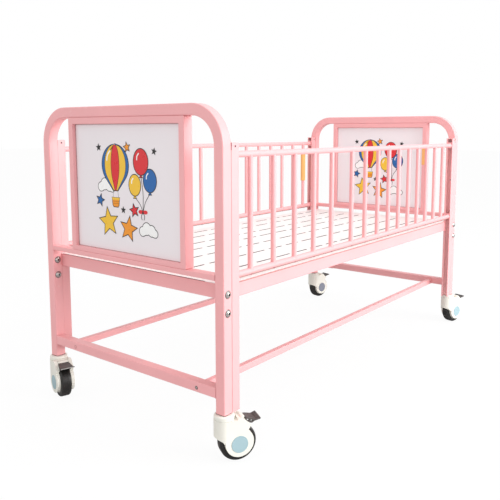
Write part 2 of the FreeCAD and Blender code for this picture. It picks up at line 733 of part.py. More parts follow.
def build():
    """Every piece of the cot by node name, in the cot's own middle frame."""
    pieces = {}
    for name, end in ENDS:
        pieces[name + "_end_tube"] = end_tube(end)
        pieces[name + "_cross_bar"] = cross_bar(end)
        pieces[name + "_lower_bar"] = lower_bar(end)
        pieces[name + "_panel_frame"] = panel_frame(end)
        pieces[name + "_panel_board"] = panel_board(end)
        pieces["deck_end_rail_" + name] = deck_end_rail(end)
        for hand, side in SIDES:
            pieces["guide_post_" + name + "_" + hand] = guide_post(end, side)
    pieces["head_panel_strip"] = panel_strip()
    pieces["deck_cross_members"] = deck_cross_members()
    pieces["deck_sheet"] = deck_sheet()
    pieces["leg_bolts"] = leg_bolts()
    pieces["leg_cap_nuts"] = leg_nuts()
    pieces["small_screws"] = small_screws()
    pieces["caster_stems"] = caster_stems()
    for hand, side in SIDES:
        pieces["deck_side_rail_" + hand] = deck_side_rail(side)
        pieces["stretcher_" + hand] = stretcher(side)
        pieces[hand + "_rail_top_tube"] = rail_tube(side, RAIL_TOP_Z)
        pieces[hand + "_rail_low_tube"] = rail_tube(side, RAIL_LOW_Z)
        pieces[hand + "_rail_bars"] = rail_bars(side)
        pieces[hand + "_rail_slide_blocks"] = slide_blocks(side)
    pieces["left_rail_grip"] = rail_grip()
    for name, end, side, angle in CASTERS:
        stem = "caster_" + name
        pieces[stem + "_housing"] = placed(caster_housing(), end, side, angle)
        pieces[stem + "_axle"] = placed(caster_axle(), end, side, angle)
        pieces[stem + "_hub_caps"] = placed(caster_hub_caps(), end, side, angle)
        pieces[stem + "_wheel"] = placed(wheel_core(), end, side, angle)
        pieces[stem + "_tyre"] = placed(wheel_tyre(), end, side, angle)
        pieces[stem + "_pedal"] = placed(brake_pedal(), end, side, angle)
    return pieces


def centre_shift(pieces):
    """Move that puts the middle of the whole footprint on the origin."""
    whole = FreeCAD.BoundBox()
    for shape in pieces.values():
        whole.add(shape.optimalBoundingBox(False))
    return V(-whole.Center.x, -whole.Center.y, 0)


PIECES = build()
SHIFT = centre_shift(PIECES)
os.makedirs("parts", exist_ok=True)
for node, shape in PIECES.items():
    shape.translate(SHIFT)
    shape.exportStep("parts/" + node + ".step")
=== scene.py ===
import json
import math

import bmesh
import bpy
from mathutils import Matrix, Vector


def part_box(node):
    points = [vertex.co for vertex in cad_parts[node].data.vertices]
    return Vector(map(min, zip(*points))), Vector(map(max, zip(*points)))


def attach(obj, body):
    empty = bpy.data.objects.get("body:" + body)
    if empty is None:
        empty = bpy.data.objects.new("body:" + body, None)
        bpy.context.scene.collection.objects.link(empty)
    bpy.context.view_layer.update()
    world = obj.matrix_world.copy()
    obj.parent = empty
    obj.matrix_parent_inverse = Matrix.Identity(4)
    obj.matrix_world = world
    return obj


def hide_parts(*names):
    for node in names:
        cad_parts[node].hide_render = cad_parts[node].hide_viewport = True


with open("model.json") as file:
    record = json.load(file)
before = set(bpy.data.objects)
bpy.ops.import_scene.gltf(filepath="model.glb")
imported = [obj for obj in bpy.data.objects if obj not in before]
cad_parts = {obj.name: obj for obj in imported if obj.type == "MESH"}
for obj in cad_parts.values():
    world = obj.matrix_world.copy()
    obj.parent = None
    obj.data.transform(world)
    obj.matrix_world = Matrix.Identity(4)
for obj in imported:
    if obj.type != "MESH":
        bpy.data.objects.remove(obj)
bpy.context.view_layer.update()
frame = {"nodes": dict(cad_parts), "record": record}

# The children's hospital cot, dressed: rounded corners on the arches, powder coat and welds on
# the tubes, moulded forms on the casters, and a balloon print on the end panels.

MM = 0.001
IN_MM = Matrix.Scale(MM, 4)
ENDS = (("foot", -1), ("head", 1))
SIDES = (("right", -1), ("left", 1))
CASTER_NAMES = ("foot_right", "foot_left", "head_right", "head_left")

# ---- where the cot stands in the frame
foot_low, foot_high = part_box("foot_end_tube")
head_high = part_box("head_end_tube")[1]
MID = Vector(((foot_low[0] + head_high[0]) / 2, (foot_low[1] + foot_high[1]) / 2, 0))
HALF_L = (head_high[0] - foot_low[0]) / 2
HALF_W = (foot_high[1] - foot_low[1]) / 2
FRAME_TOP = foot_high[2]
LEG_FOOT = foot_low[2]
TUBE_DEPTH = foot_high[0] - foot_low[0]

# ---- sizes repeated from the CAD: metres where MM stands, otherwise millimetres
TUBE_WIDTH = 33 * MM
BEND_OUTER = 115 * MM
PANEL_SIDE = 21 * MM
PANEL_SILL = 15 * MM
BOLT_INSET = 17 * MM
BOLT_HEIGHTS = (422 * MM, 474 * MM)
BOLT_HEAD_R = 10.5
BOLT_HEAD_H = 5.0
SCREW_HEIGHTS = (541 * MM, 688 * MM, 858 * MM)
SCREW_CHANNEL_Y = 387.75 * MM
POST_WALL = 2.5 * MM
POST_TOP = 881 * MM
POST_INNER = 370 * MM
VENT_Z = 871 * MM
FIXING_Z = 193 * MM
FIXING_YS = (-295.3 * MM, 261 * MM)
RAIL_Y = 388 * MM
RAIL_TOP_Z = 849 * MM
RAIL_LOW_Z = 519 * MM
RAIL_R = 9.0
BAR_R = 8.0
RIGHT_BARS = ((-704, 108, 5), (-138, 98, 3), (147, 89, 7))
LEFT_BARS = ((-670, 98.5, 7), (36, 98, 2), (232, 94.8, 6))

SLOT_LENGTH = 76.0
SLOT_WIDTH = 5.0
SLOT_PITCH = 104.0
SLOT_COUNT = 14
SLOT_ROWS = (-256, -147, -42, 56, 140, 238, 320)

# ---- sizes that only the dressed cot has
LEG_RADIUS = 3.5 * MM
PANEL_RADIUS = 2.0 * MM  # edges of the panel frame, along its tubes
FRAME_CORNER, BOARD_CORNER = 2.5 * MM, 1.2 * MM
BEAD_R = 1.1  # weld bead, millimetres
SEAM_RADIUS = 2.5 * MM  # corners of the bead round a rectangular tube
SEAM_STEP = 4 * MM  # length of its ripples
SEAM_INSET = 0.3 * MM  # its centre line in from the tube's end
GRIP_BORE = 8.4  # millimetres
BEAD_OUT = 0.4  # weld beads' centre line off the bar, millimetres
SLIT_DEPTH = 0.65 * MM  # painted shade in the post top slits, in from the outer face
VENT_SHADE_R = 3.0  # painted shade discs in the post vent holes, millimetres
STRIP_INSET = 8 * MM  # strips end this far inside the tubes' ends
TUBE_SHADE_SIZE = (7 * MM, 3 * MM)  # width and height of the painted shade strip under a low tube
TUBE_SHADE_RISE = 0.8 * MM  # its top, above the tube's lowest line
RAIL_SHADE_SIZE = (1.2 * MM, 2.2 * MM)  # width and height of the painted shade strip on a side rail
RAIL_SHADE_OUT, RAIL_SHADE_DROP = 0.2 * MM, 0.4 * MM
SLOT_SHADE_RIM = 1.4  # width of the painted shade round each slot, millimetres
SLOT_BAND = (0.03, 0.33)  # middle and reach across of the slotted area, metres
CHANNEL_X = HALF_L - TUBE_DEPTH - 16 * MM  # middles of the post channels from the cot's
CHANNEL_Y = HALF_W - 15 * MM
CHANNEL_REACH = (15.2 * MM, 14.2 * MM)
PRINT_STEP = 0.012  # thickness of one printed layer, millimetres

# ---- caster sizes repeated from the CAD, in millimetres
TRAIL = 36.0
WHEEL_R = 53.0
TYRE_HALF = 17.0
TYRE_INNER = 38.3
HOUSING_R = 30.0
HOUSING_TOP = 122.5
HOUSING_HALF = 30.0
EASE = 0.42  # the moulded housing stays this far inside HOUSING_R and _HALF
CHEEK_R = 41.0
CHEEK_Z = 58.0
POCKET_R = 56.0
POCKET_HALF = 18.5
RING_R = 29.0
RING_LOW = 122.8
RING_TOP = 136.0
PIN_FOOT = 105.0
STEM_TOP = 176.0
CAP_R = 24.0
CAP_FACE = 30.8


# ---- materials

def cleared(owner):
    """Material or world with an empty node tree."""
    owner.use_nodes = True
    owner.node_tree.nodes.clear()
    return owner


def feed(owner, node, values):
    """Set a node's inputs, by name or number, to constants or to other nodes' outputs."""
    for key, value in values.items():
        socket = node.inputs[key]
        if isinstance(value, bpy.types.NodeSocket):
            owner.node_tree.links.new(value, socket)
        else:
            socket.default_value = (*value, 1) if socket.type == "RGBA" else value


def add_node(owner, kind, values=()):
    """New shader node with its inputs set."""
    node = owner.node_tree.nodes.new("ShaderNode" + kind)
    feed(owner, node, dict(values))
    return node


def maths(owner, operation, *values):
    """Result of a math node."""
    node = add_node(owner, "Math")
    node.operation = operation
    feed(owner, node, dict(enumerate(values)))
    return node.outputs[0]


def noise(mat, scale, detail=3.0, stretch=(1, 1, 1)):
    """Noise texture on object coordinates, in 1/metres."""
    coords = add_node(mat, "TexCoord")
    mapping = add_node(mat, "Mapping", {"Vector": coords.outputs["Object"], "Scale": stretch})
    return add_node(mat, "TexNoise", {"Vector": mapping.outputs["Vector"], "Scale": scale,
                                      "Detail": detail}).outputs["Fac"]


def shaded(mat, source, colour, depth):
    """Colour that darkens by a share where a source is low."""
    node = add_node(mat, "ValToRGB", {"Fac": source})
    darker = [c * (1 - depth) for c in colour]
    for end, place, value in zip(node.color_ramp.elements, (0.35, 0.65), (darker, colour)):
        end.position = place
        end.color = (*value, 1)
    return node.outputs["Color"]


def spread(mat, source, low, high, start=0.3, end=0.7):
    """Map a value to a range."""
    return add_node(mat, "MapRange", {"Value": source, "From Min": start, "From Max": end,
                                      "To Min": low, "To Max": high}).outputs["Result"]


def mix(mat, factor, a, b):
    """Mix two colours by a factor."""
    node = add_node(mat, "Mix")
    node.data_type = "RGBA"
    feed(mat, node, {"Factor": factor, 6: a, 7: b})
    return node.outputs[2]


def xyz(mat, vector):
    """X, Y and Z of a vector, as outputs."""
    return add_node(mat, "SeparateXYZ", {0: vector}).outputs


def slot_shade_mask(mat):
    """1 on the upright walls in the deck sheet's slotted area, else 0: where painted shade goes."""
    level = maths(mat, "ABSOLUTE", xyz(mat, add_node(mat, "NewGeometry").outputs["Normal"])["Z"])
    across = xyz(mat, add_node(mat, "TexCoord").outputs["Object"])["Y"]
    inside = maths(mat, "COMPARE", across, MID.y + SLOT_BAND[0], SLOT_BAND[1])
    return maths(mat, "MULTIPLY", spread(mat, level, 1, 0, 0.2, 0.8), inside)


def lit_channel_mask(mat):
    """1 inside the guide posts' channels, else 0: where painted light brightens the paint."""
    places = xyz(mat, add_node(mat, "TexCoord").outputs["Object"])
    masks = []
    for axis, middle, out, reach in zip("XY", MID, (CHANNEL_X, CHANNEL_Y), CHANNEL_REACH):
        off = maths(mat, "ABSOLUTE", maths(mat, "SUBTRACT", places[axis], middle))
        masks.append(maths(mat, "COMPARE", off, out, reach))
    return maths(mat, "MULTIPLY", *masks)


def linear(*rgb):
    """sRGB 0..255 to linear."""
    shares = [c / 255 for c in rgb]
    return tuple(c / 12.92 if c <= 0.04045 else ((c + 0.055) / 1.055) ** 2.4 for c in shares)


def finished(mat, colour, rough, height, strength, distance, extra=()):
    """Give an empty material its shader with a colour, a roughness and a bump."""
    relief = add_node(mat, "Bump", {"Height": height, "Strength": strength, "Distance": distance})
    shader = add_node(mat, "BsdfPrincipled", {"Base Color": colour, "Roughness": rough,
                                              "Normal": relief.outputs["Normal"], **dict(extra)})
    add_node(mat, "OutputMaterial", {"Surface": shader.outputs["BSDF"]})
    return mat


def coated(name, colour, depth=0.04, rough=(0.38, 0.5), grain=900.0, gloss=0.0, peel=0.00006,
           scuffed=None, inside=None):
    """Powder coat or lacquer: slight clouds, fine orange peel, paler scuffs, and post channels
    painted paler as painted light.
    """
    mat = cleared(bpy.data.materials.new(name))
    paint = shaded(mat, noise(mat, 6.0, 4.0), colour, depth)
    if scuffed:
        rubbed = spread(mat, noise(mat, 40.0, 8.0), 0, 0.6, 0.68, 0.74)
        paint = mix(mat, maths(mat, "MULTIPLY", rubbed, noise(mat, 7.0, 2.0)), paint, scuffed)
    # channel interiors painted paler: painted light standing in for light reaching inside
    if inside:
        paint = mix(mat, lit_channel_mask(mat), paint, inside)
    return finished(mat, paint, spread(mat, noise(mat, 35.0), *rough), noise(mat, grain, 2.0),
                    0.12, peel, {"Coat Weight": gloss, "Coat Roughness": 0.26})


def sheet_coat(name, rgb, wall_shade):
    """White lacquer on the slotted sheet, with painted shade on the slots' walls."""
    mat = cleared(bpy.data.materials.new(name))
    paint = shaded(mat, noise(mat, 5.0, 4.0), linear(*rgb), 0.03)
    return finished(mat, mix(mat, slot_shade_mask(mat), paint, linear(*wall_shade)),
                    spread(mat, noise(mat, 30.0), 0.3, 0.42), noise(mat, 800.0, 2.0), 0.1, 0.0001)


def moulded(name, rgb, rough=(0.38, 0.5), depth=0.05, strength=0.15):
    """Moulded plastic or rubber: faint mottling and a fine spark-eroded grain."""
    mat = cleared(bpy.data.materials.new(name))
    return finished(mat, shaded(mat, noise(mat, 14.0, 5.0), linear(*rgb), depth),
                    spread(mat, noise(mat, 60.0), *rough), noise(mat, 1400.0, 2.0), strength,
                    0.0001)


def metal(name, colour, rough=(0.16, 0.3)):
    """Bright zinc with fine directional brushing."""
    mat = cleared(bpy.data.materials.new(name))
    brushed = noise(mat, 260.0, 3.0, (1, 1, 9))
    return finished(mat, shaded(mat, brushed, colour, 0.18), spread(mat, brushed, *rough),
                    brushed, 0.1, 0.00005, {"Metallic": 1.0})


PINK_TONE = (0.90, 0.42, 0.43)
PINK = coated("pink_powder_coat", PINK_TONE, gloss=0.3, scuffed=(0.95, 0.62, 0.61))
# channel interiors painted paler: painted light
POST_PINK_LIT = coated("post_coat_painted_light", PINK_TONE, gloss=0.3, inside=(1.0, 0.64, 0.64))
# dark red: painted shade on the bar ends under the low tubes and in the painted screws' recesses
# and rings
WELD_SHADE = coated("weld_painted_shade", (0.42, 0.19, 0.19), depth=0.18, grain=600.0)
# the second colour is painted shade on the slot walls
DECK_WHITE = sheet_coat("deck_white_coat", (246, 245, 243), (44, 40, 42))
BOARD = coated("board_laminate", linear(238, 231, 234), depth=0.008, rough=(0.3, 0.34),
               grain=700.0, peel=0.00001)
IVORY = moulded("caster_ivory_nylon", (234, 232, 222))
HUB_BLUE = moulded("hub_cap_blue", (160, 187, 194))
CAP_SHADE = moulded("hub_cap_shaded", (132, 136, 150))
WHEEL_GREY = moulded("wheel_centre_grey", (214, 213, 207))
TYRE = moulded("tyre_rubber", (27, 24, 22), rough=(0.34, 0.46), depth=0.2)
LIP_HIGHLIGHT = moulded("pedal_lip_highlight", (168, 165, 162))
PEDAL = moulded("pedal_nylon", (86, 81, 79), rough=(0.35, 0.5), depth=0.15)
ORANGE = moulded("orange_foam", (247, 183, 108), rough=(0.5, 0.65))
# dark pink-brown: painted shade under the low tubes and at the side rails' top edges
STRIP_SHADE = moulded("rail_painted_shade_strip", (168, 126, 120), rough=(0.5, 0.65))
# dark pink: painted shade round the boards
BOARD_RIM_SHADE = moulded("board_edge_shade", (176, 122, 122), rough=(0.5, 0.6))
# dark red-brown: painted shade in the post slits and at the leg feet
GAP_SHADE = moulded("gap_painted_shade", (98, 56, 60), rough=(0.6, 0.8))
# near black: painted shade at the deck slots and in the post vent holes
HOLE_SHADE = moulded("hole_painted_shade", (50, 50, 56))
ZINC = metal("bright_zinc", (0.50, 0.48, 0.46))
# near black: painted shade in the fastener recesses and the rings under their heads
SOCKET_SHADE = metal("socket_painted_shade", (0.03, 0.028, 0.027), rough=(0.4, 0.6))
PRINTS = {}
for ink, tone in (("black", (24, 21, 22)), ("red", (222, 32, 42)), ("yellow", (244, 196, 52)),
                  ("orange", (243, 152, 30)), ("blue", (14, 98, 170)), ("white", (250, 249, 248))):
    PRINTS[ink] = moulded("print_" + ink, tone, strength=0.05,
                          rough=(0.3, 0.4) if ink == "black" else (0.26, 0.34))


# ---- mesh helpers

def link_object(name, data):
    """Object in the scene."""
    obj = bpy.data.objects.new(name, data)
    bpy.context.scene.collection.objects.link(obj)
    return obj


def mesh_object(name, bm, mats=()):
    """Object made from a bmesh, which is freed."""
    mesh = bpy.data.meshes.new(name)
    bm.to_mesh(mesh)
    bm.free()
    for mat in mats:
        mesh.materials.append(mat)
    return link_object(name, mesh)


def is_sharp(edge, degrees=30.0):
    """True for an edge between two faces at more than an angle."""
    return len(edge.link_faces) == 2 and edge.calc_face_angle(0) > math.radians(degrees)


def finish_mesh(name, bm, mats, body, *nodes, sharp=38.0, merge=1e-6):
    """Turn a bmesh into a dressed piece, smooth but for its sharp edges, with flats kept flat."""
    bmesh.ops.remove_doubles(bm, verts=bm.verts, dist=merge)
    bmesh.ops.recalc_face_normals(bm, faces=bm.faces)
    for face in bm.faces:
        face.smooth = True
    for edge in bm.edges:
        edge.smooth = not is_sharp(edge, sharp)
    obj = mesh_object(name, bm, mats if isinstance(mats, list) else [mats])
    even = obj.modifiers.new("even_normals", "WEIGHTED_NORMAL")
    even.keep_sharp = True
    dress(obj, body, *nodes)


def dress(obj, body, *nodes):
    """Ride on a body and stand for the named CAD nodes."""
    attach(obj, body)
    if nodes:
        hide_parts(*nodes)


def carry_over(node, mat):
    """Give a CAD node that keeps its own mesh its finish."""
    obj = frame["nodes"][node]
    obj.data.materials.clear()
    obj.data.materials.append(mat)


def loft(bm, rings, closed=False, caps=True, index=0):
    """Skin a list of point rings; closed joins the last to the first."""
    made = [[bm.verts.new(p) for p in ring] for ring in rings]
    count = len(made[0])
    pairs = list(zip(made, made[1:]))
    if closed:
        pairs.append((made[-1], made[0]))
    faces = []
    for a, b in pairs:
        for i in range(count):
            j = (i + 1) % count
            faces.append(bm.faces.new((a[i], a[j], b[j], b[i])))
    if caps and not closed:
        faces.append(bm.faces.new(list(reversed(made[0]))))
        faces.append(bm.faces.new(made[-1]))
    for face in faces:
        face.material_index = index


def around(steps):
    """Angles of equal steps round a circle."""
    return [2 * math.pi * i / steps for i in range(steps)]


def circle(radius, height, steps):
    """Points of a circle about the Z axis."""
    return [Vector((radius * math.cos(a), radius * math.sin(a), height)) for a in around(steps)]


def lathe(bm, profile, turn, steps=48, closed=True, index=0):
    """Revolve (radius, height) points about the Z axis of a frame given by a matrix."""
    loft(bm, [[turn @ p for p in circle(radius, height, steps)] for radius, height in profile],
         closed=closed, caps=False, index=index)


def arc(cx, cz, radius, start, stop, steps=5):
    """Points on a circle, angles in degrees."""
    angles = [math.radians(start + (stop - start) * i / steps) for i in range(steps + 1)]
    return [(cx + radius * math.cos(a), cz + radius * math.sin(a)) for a in angles]


def slab(bm, outline, y0, y1):
    """Outline of (x, z) points drawn across from y0 to y1."""
    loft(bm, [[Vector((x, y, z)) for x, z in outline] for y in (y0, y1)])


def soften(bm, offset, picked, segments=2):
    """Round the edges that a test picks."""
    edges = [edge for edge in bm.edges if picked(edge)]
    bmesh.ops.bevel(bm, geom=edges, offset=offset, offset_type="OFFSET", segments=segments,
                    profile=0.5, affect="EDGES", clamp_overlap=True)


def scratch_object(bm):
    """Unfinished form for a boolean."""
    bmesh.ops.remove_doubles(bm, verts=bm.verts, dist=1e-4)
    bmesh.ops.recalc_face_normals(bm, faces=bm.faces)
    return mesh_object("scratch", bm)


def combine(base, joins, cuts):
    """Bmesh of a form with others joined to it and then others cut from it."""
    for others, operation in ((joins, "UNION"), (cuts, "DIFFERENCE")):
        for other in others:
            step = base.modifiers.new("step", "BOOLEAN")
            step.operation = operation
            step.solver = "EXACT"
            step.object = other
    graph = bpy.context.evaluated_depsgraph_get()
    made = bpy.data.meshes.new_from_object(base.evaluated_get(graph), depsgraph=graph)
    bm = bmesh.new()
    bm.from_mesh(made)
    for obj in [base] + joins + cuts:
        bpy.data.meshes.remove(obj.data)
    bpy.data.meshes.remove(made)
    return bm


def rounded_section(u0, u1, v0, v1, radius, steps=4):
    """Rounded rectangle as a closed list of (u, v) points."""
    points = []
    for cu, cv, start in ((u1 - radius, v1 - radius, 0), (u0 + radius, v1 - radius, 90),
                          (u0 + radius, v0 + radius, 180), (u1 - radius, v0 + radius, 270)):
        points += arc(cu, cv, radius, start, start + 90, steps)
    return points


def bead(bm, path, radius, turn=None):
    """Weld bead along a closed path, its width rippled a little."""
    count = len(path)
    rings = []
    for i, point in enumerate(path):
        along = (path[(i + 1) % count] - path[i - 1]).normalized()
        across = along.orthogonal().normalized() if abs(along.z) > 0.99 else \
            along.cross(Vector((0, 0, 1))).normalized()
        other = along.cross(across)
        width = radius * (1 + 0.16 * math.sin(2.4 * i))
        ring = [point + (across * math.cos(a) + other * math.sin(a)) * width for a in around(6)]
        rings.append([turn @ p for p in ring] if turn else ring)
    loft(bm, rings, closed=True)


# ---- end frames

def arch_path(half, top, bend):
    """Centre line of the arched tube in the YZ plane, from one leg foot to the other."""
    return ([(-half, LEG_FOOT)] + arc(bend - half, top - bend, bend, 180, 90, 14)
            + arc(half - bend, top - bend, bend, 90, 0, 14) + [(half, LEG_FOOT)])


def bend_normal(y, z, path, bend, fallback):
    """Outward normal of the arch's centre line, exact in the bends."""
    centre_y = abs(path[0][0]) - bend
    centre_z = max(p[1] for p in path) - bend
    if z < centre_z - 1e-6 or abs(y) < centre_y - 1e-6:
        return fallback
    sign = -1 if y < 0 else 1
    return Vector((0, y - sign * centre_y, z - centre_z)).normalized()


def arched_tube(name):
    """The end tube with rounded corners all the way round its bends."""
    node = name + "_end_tube"
    low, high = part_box(node)
    bend = BEND_OUTER - TUBE_WIDTH / 2
    section = rounded_section(-TUBE_WIDTH / 2, TUBE_WIDTH / 2, 0, high[0] - low[0], LEG_RADIUS)
    path = arch_path(HALF_W - TUBE_WIDTH / 2, FRAME_TOP - TUBE_WIDTH / 2, bend)
    rings = []
    for i, (y, z) in enumerate(path):
        before = path[max(i - 1, 0)]
        after = path[min(i + 1, len(path) - 1)]
        along = Vector((0, after[0] - before[0], after[1] - before[1])).normalized()
        out = Vector((0, -along.z, along.y))
        if 0 < i < len(path) - 1:
            out = bend_normal(y, z, path, bend, out)
        centre = Vector((low[0], MID.y + y, z))
        rings.append([centre + out * u + Vector((v, 0, 0)) for u, v in section])
    bm = bmesh.new()
    loft(bm, rings)
    finish_mesh(node + "_coated", bm, PINK, "frame", node)


def panel_surround(name):
    """Mitred frame round the board, one loop of tube with rounded edges."""
    node = name + "_panel_frame"
    low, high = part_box(node)
    bm = bmesh.new()
    outer = rounded_section(low[1], high[1], low[2], high[2], FRAME_CORNER, 3)
    inner = rounded_section(low[1] + PANEL_SIDE, high[1] - PANEL_SIDE, low[2] + PANEL_SILL,
                            high[2] - PANEL_SIDE, BOARD_CORNER, 3)
    depths = profile_depths(low[0], high[0], PANEL_RADIUS)
    loops = [(x, scaled(outer, -inset)) for x, inset in depths]
    loops += [(x, scaled(inner, inset)) for x, inset in reversed(depths)]
    loft(bm, [[Vector((x, y, z)) for y, z in outline] for x, outline in loops], closed=True)
    finish_mesh(node + "_coated", bm, PINK, "frame", node)


def profile_depths(x0, x1, edge):
    """Positions through the depth with how far the corner is rounded off there."""
    steps = 3
    front = [(x0 + edge * (1 - math.cos(math.radians(90 * i / steps))),
              edge * (1 - math.sin(math.radians(90 * i / steps)))) for i in range(steps + 1)]
    back = [(x0 + x1 - x, inset) for x, inset in reversed(front)]
    return front + back


def scaled(points, change):
    """Outline made larger by a distance on every side, or smaller where it is negative."""
    ys = [p[0] for p in points]
    zs = [p[1] for p in points]
    cy, cz = (min(ys) + max(ys)) / 2, (min(zs) + max(zs)) / 2
    ky = 1 + change / ((max(ys) - min(ys)) / 2)
    kz = 1 + change / ((max(zs) - min(zs)) / 2)
    return [(cy + (y - cy) * ky, cz + (z - cz) * kz) for y, z in points]


def board_edge_shade(name):
    """Thin dark strip round the board where it leaves the frame, on both faces: painted shade of
    the board's recess.
    """
    low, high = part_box(name + "_panel_frame")
    board_low, board_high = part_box(name + "_panel_board")
    bm = bmesh.new()
    y0, y1 = low[1] + PANEL_SIDE, high[1] - PANEL_SIDE
    z0, z1 = low[2] + PANEL_SILL, high[2] - PANEL_SIDE
    for x, out in ((board_low[0], -1), (board_high[0], 1)):
        loops = []
        for inset, rise in ((-0.4, 0.0), (-0.4, 1.2), (0.9, 1.2), (1.3, 0.8), (1.3, 0.0)):
            ring = rounded_section(y0 + inset * MM, y1 - inset * MM, z0 + inset * MM,
                                   z1 - inset * MM, BOARD_CORNER, 2)
            loops.append([Vector((x + out * rise * MM, y, z)) for y, z in ring])
        loft(bm, loops, closed=True)
    finish_mesh(name + "_board_edge_shade", bm, BOARD_RIM_SHADE, "frame")


for end_name, _ in ENDS:
    arched_tube(end_name)
    panel_surround(end_name)
    board_edge_shade(end_name)


# ---- welds

def bar_welds(hand, side, groups):
    """Beads round both ends of every bar, and the welded bar ends under the low tube, dark as
    painted shade.
    """
    beads, nubs = bmesh.new(), bmesh.new()
    reach = BAR_R + BEAD_OUT
    for x in [first + pitch * i for first, pitch, count in groups for i in range(count)]:
        for z, up in ((RAIL_TOP_Z, -1), (RAIL_LOW_Z, 1)):
            place = Matrix.Translation((MID.x + x * MM, MID.y + side * RAIL_Y, z)) @ IN_MM
            path = []
            for angle in around(20):
                wide = reach * math.sin(angle)
                rise = math.sqrt(max(RAIL_R ** 2 - wide ** 2, 0)) + BEAD_OUT
                path.append(Vector((reach * math.cos(angle), wide, up * rise)))
            bead(beads, path, BEAD_R, place)
        lathe(nubs, [(0, -RAIL_R + 3), (6.4, -RAIL_R + 3), (6.4, -RAIL_R - 1.2),
                     (5.2, -RAIL_R - 2.4), (0, -RAIL_R - 2.8)], place, 16, closed=False)
    body = hand + "_drop_side"
    finish_mesh(hand + "_bar_welds", beads, PINK, body)
    finish_mesh(hand + "_bar_end_welds", nubs, WELD_SHADE, body)


def box_seam(x, y, z0, z1, depth, out):
    """Closed path round a rectangular tube's end where it meets a leg's side face."""
    corners = rounded_section(x, x + depth, z0, z1, SEAM_RADIUS, 3)
    path = []
    for (xa, za), (xb, zb) in zip(corners, corners[1:] + corners[:1]):
        run = math.hypot(xb - xa, zb - za)
        parts = max(1, int(run / SEAM_STEP))
        for k in range(parts):
            path.append(Vector((xa + (xb - xa) * k / parts, y + out, za + (zb - za) * k / parts)))
    return path


def frame_welds():
    """Beads where the end frames' bars and the deck's end rails meet the legs."""
    bm = bmesh.new()
    for end_name, _ in ENDS:
        for node in (end_name + "_cross_bar", end_name + "_lower_bar", "deck_end_rail_" + end_name):
            low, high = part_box(node)
            for y, out in ((low[1], SEAM_INSET), (high[1], -SEAM_INSET)):
                bead(bm, box_seam(low[0], y, low[2], high[2], high[0] - low[0], out), BEAD_R * MM)
    finish_mesh("frame_welds", bm, PINK, "frame")


bar_welds("right", -1, RIGHT_BARS)
bar_welds("left", 1, LEFT_BARS)
frame_welds()


# ---- fasteners

def facing(place, out):
    """Frame in millimetres at a point, with Z along an outward direction."""
    turn = Vector(out).to_track_quat("Z", "X").to_matrix().to_4x4()
    return Matrix.Translation(place) @ turn @ IN_MM


HEAD_STEPS = 48
CROSS_ARM = 16.0  # half width of a cross recess's arms, degrees

# Head outlines with the recess's radius, its sides and its floor, in millimetres.
BOLT_HEAD = ([(0, 0), (BOLT_HEAD_R, 0), (BOLT_HEAD_R, 0.9), (9.6, 1.5), (8.9, 2.4), (7.8, 3.5),
              (6.6, 4.3), (5.4, BOLT_HEAD_H - 0.1), (4.6, BOLT_HEAD_H)], 3.3, 6, 2.2)
SCREW_HEAD = ([(0, 0), (4.2, 0), (4.2, 0.8), (3.8, 1.4), (3.1, 1.9), (2.4, 2.2)], 2.3, 4, 1.0)


def notched_ring(radius, sides, height):
    """Ring whose radius follows a hexagon or a cross, for the mouth of a drive recess."""
    ring = []
    half = math.pi / sides
    for angle in around(HEAD_STEPS):
        within = (angle + half) % (2 * half) - half
        if sides == 6:
            r = radius / math.cos(within) * 0.9
        else:
            r = radius if abs(within) < math.radians(CROSS_ARM) else radius * 0.38
        ring.append(Vector((r * math.cos(angle), r * math.sin(angle), height)))
    return ring


def fastener(bm, place, out, head, inner, outer):
    """Domed head facing out; its recess and a thin dark ring under it take the second material,
    painted shade.
    """
    turn = facing(place, out)
    profile, mouth_r, sides, floor = head
    mouth = notched_ring(mouth_r, sides, profile[-1][1])
    dome = [circle(radius, height, HEAD_STEPS) for radius, height in profile] + [mouth]
    well = [mouth, notched_ring(mouth_r * 0.96, sides, floor), [Vector((0, 0, floor))] * HEAD_STEPS]
    for index, rings in enumerate((dome, well)):
        loft(bm, [[turn @ p for p in ring] for ring in rings], caps=False, index=index)
    # thin dark ring under the head: a painted shadow
    lathe(bm, [(inner, 0.05), (outer, 0.05), (outer - 0.3, 0.45), (inner, 0.45)], turn, 36,
          index=1)


def leg_fasteners():
    """Domed bolts outside the legs and matching sleeve nuts inside, with hexagon sockets."""
    bolts, nuts = bmesh.new(), bmesh.new()
    for _, end in ENDS:
        x = MID.x + end * (HALF_L - BOLT_INSET)
        for _, side in SIDES:
            for z in BOLT_HEIGHTS:
                for bm, y, out in ((bolts, HALF_W, side), (nuts, HALF_W - TUBE_WIDTH, -side)):
                    fastener(bm, (x, MID.y + side * y, z), (0, out, 0), BOLT_HEAD,
                             BOLT_HEAD_R - 0.5, 11.6)
    for name, bm, node in (("leg_bolts_bright", bolts, "leg_bolts"),
                           ("leg_nuts_bright", nuts, "leg_cap_nuts")):
        finish_mesh(name, bm, [ZINC, SOCKET_SHADE], "frame", node, merge=1e-7)


def frame_screws():
    """Pan-head screws with cross recesses in the guide posts and the lower bars."""
    bright, painted = bmesh.new(), bmesh.new()
    for _, end in ENDS:
        x = MID.x + end * (HALF_L - TUBE_DEPTH - POST_WALL)
        for _, side in SIDES:
            for z in SCREW_HEIGHTS:
                fastener(bright, (x, MID.y + side * SCREW_CHANNEL_Y, z), (-end, 0, 0),
                         SCREW_HEAD, 3.6, 5.0)
        for y, bm in zip(FIXING_YS, (bright, painted)):
            fastener(bm, (MID.x + end * HALF_L, MID.y + y, FIXING_Z), (end, 0, 0), SCREW_HEAD,
                     3.6, 5.4)
    for name, bm, mats in (("frame_screws_bright", bright, [ZINC, SOCKET_SHADE]),
                           ("frame_screws_painted", painted, [PINK, WELD_SHADE])):
        finish_mesh(name, bm, mats, "frame", "small_screws", merge=1e-7)


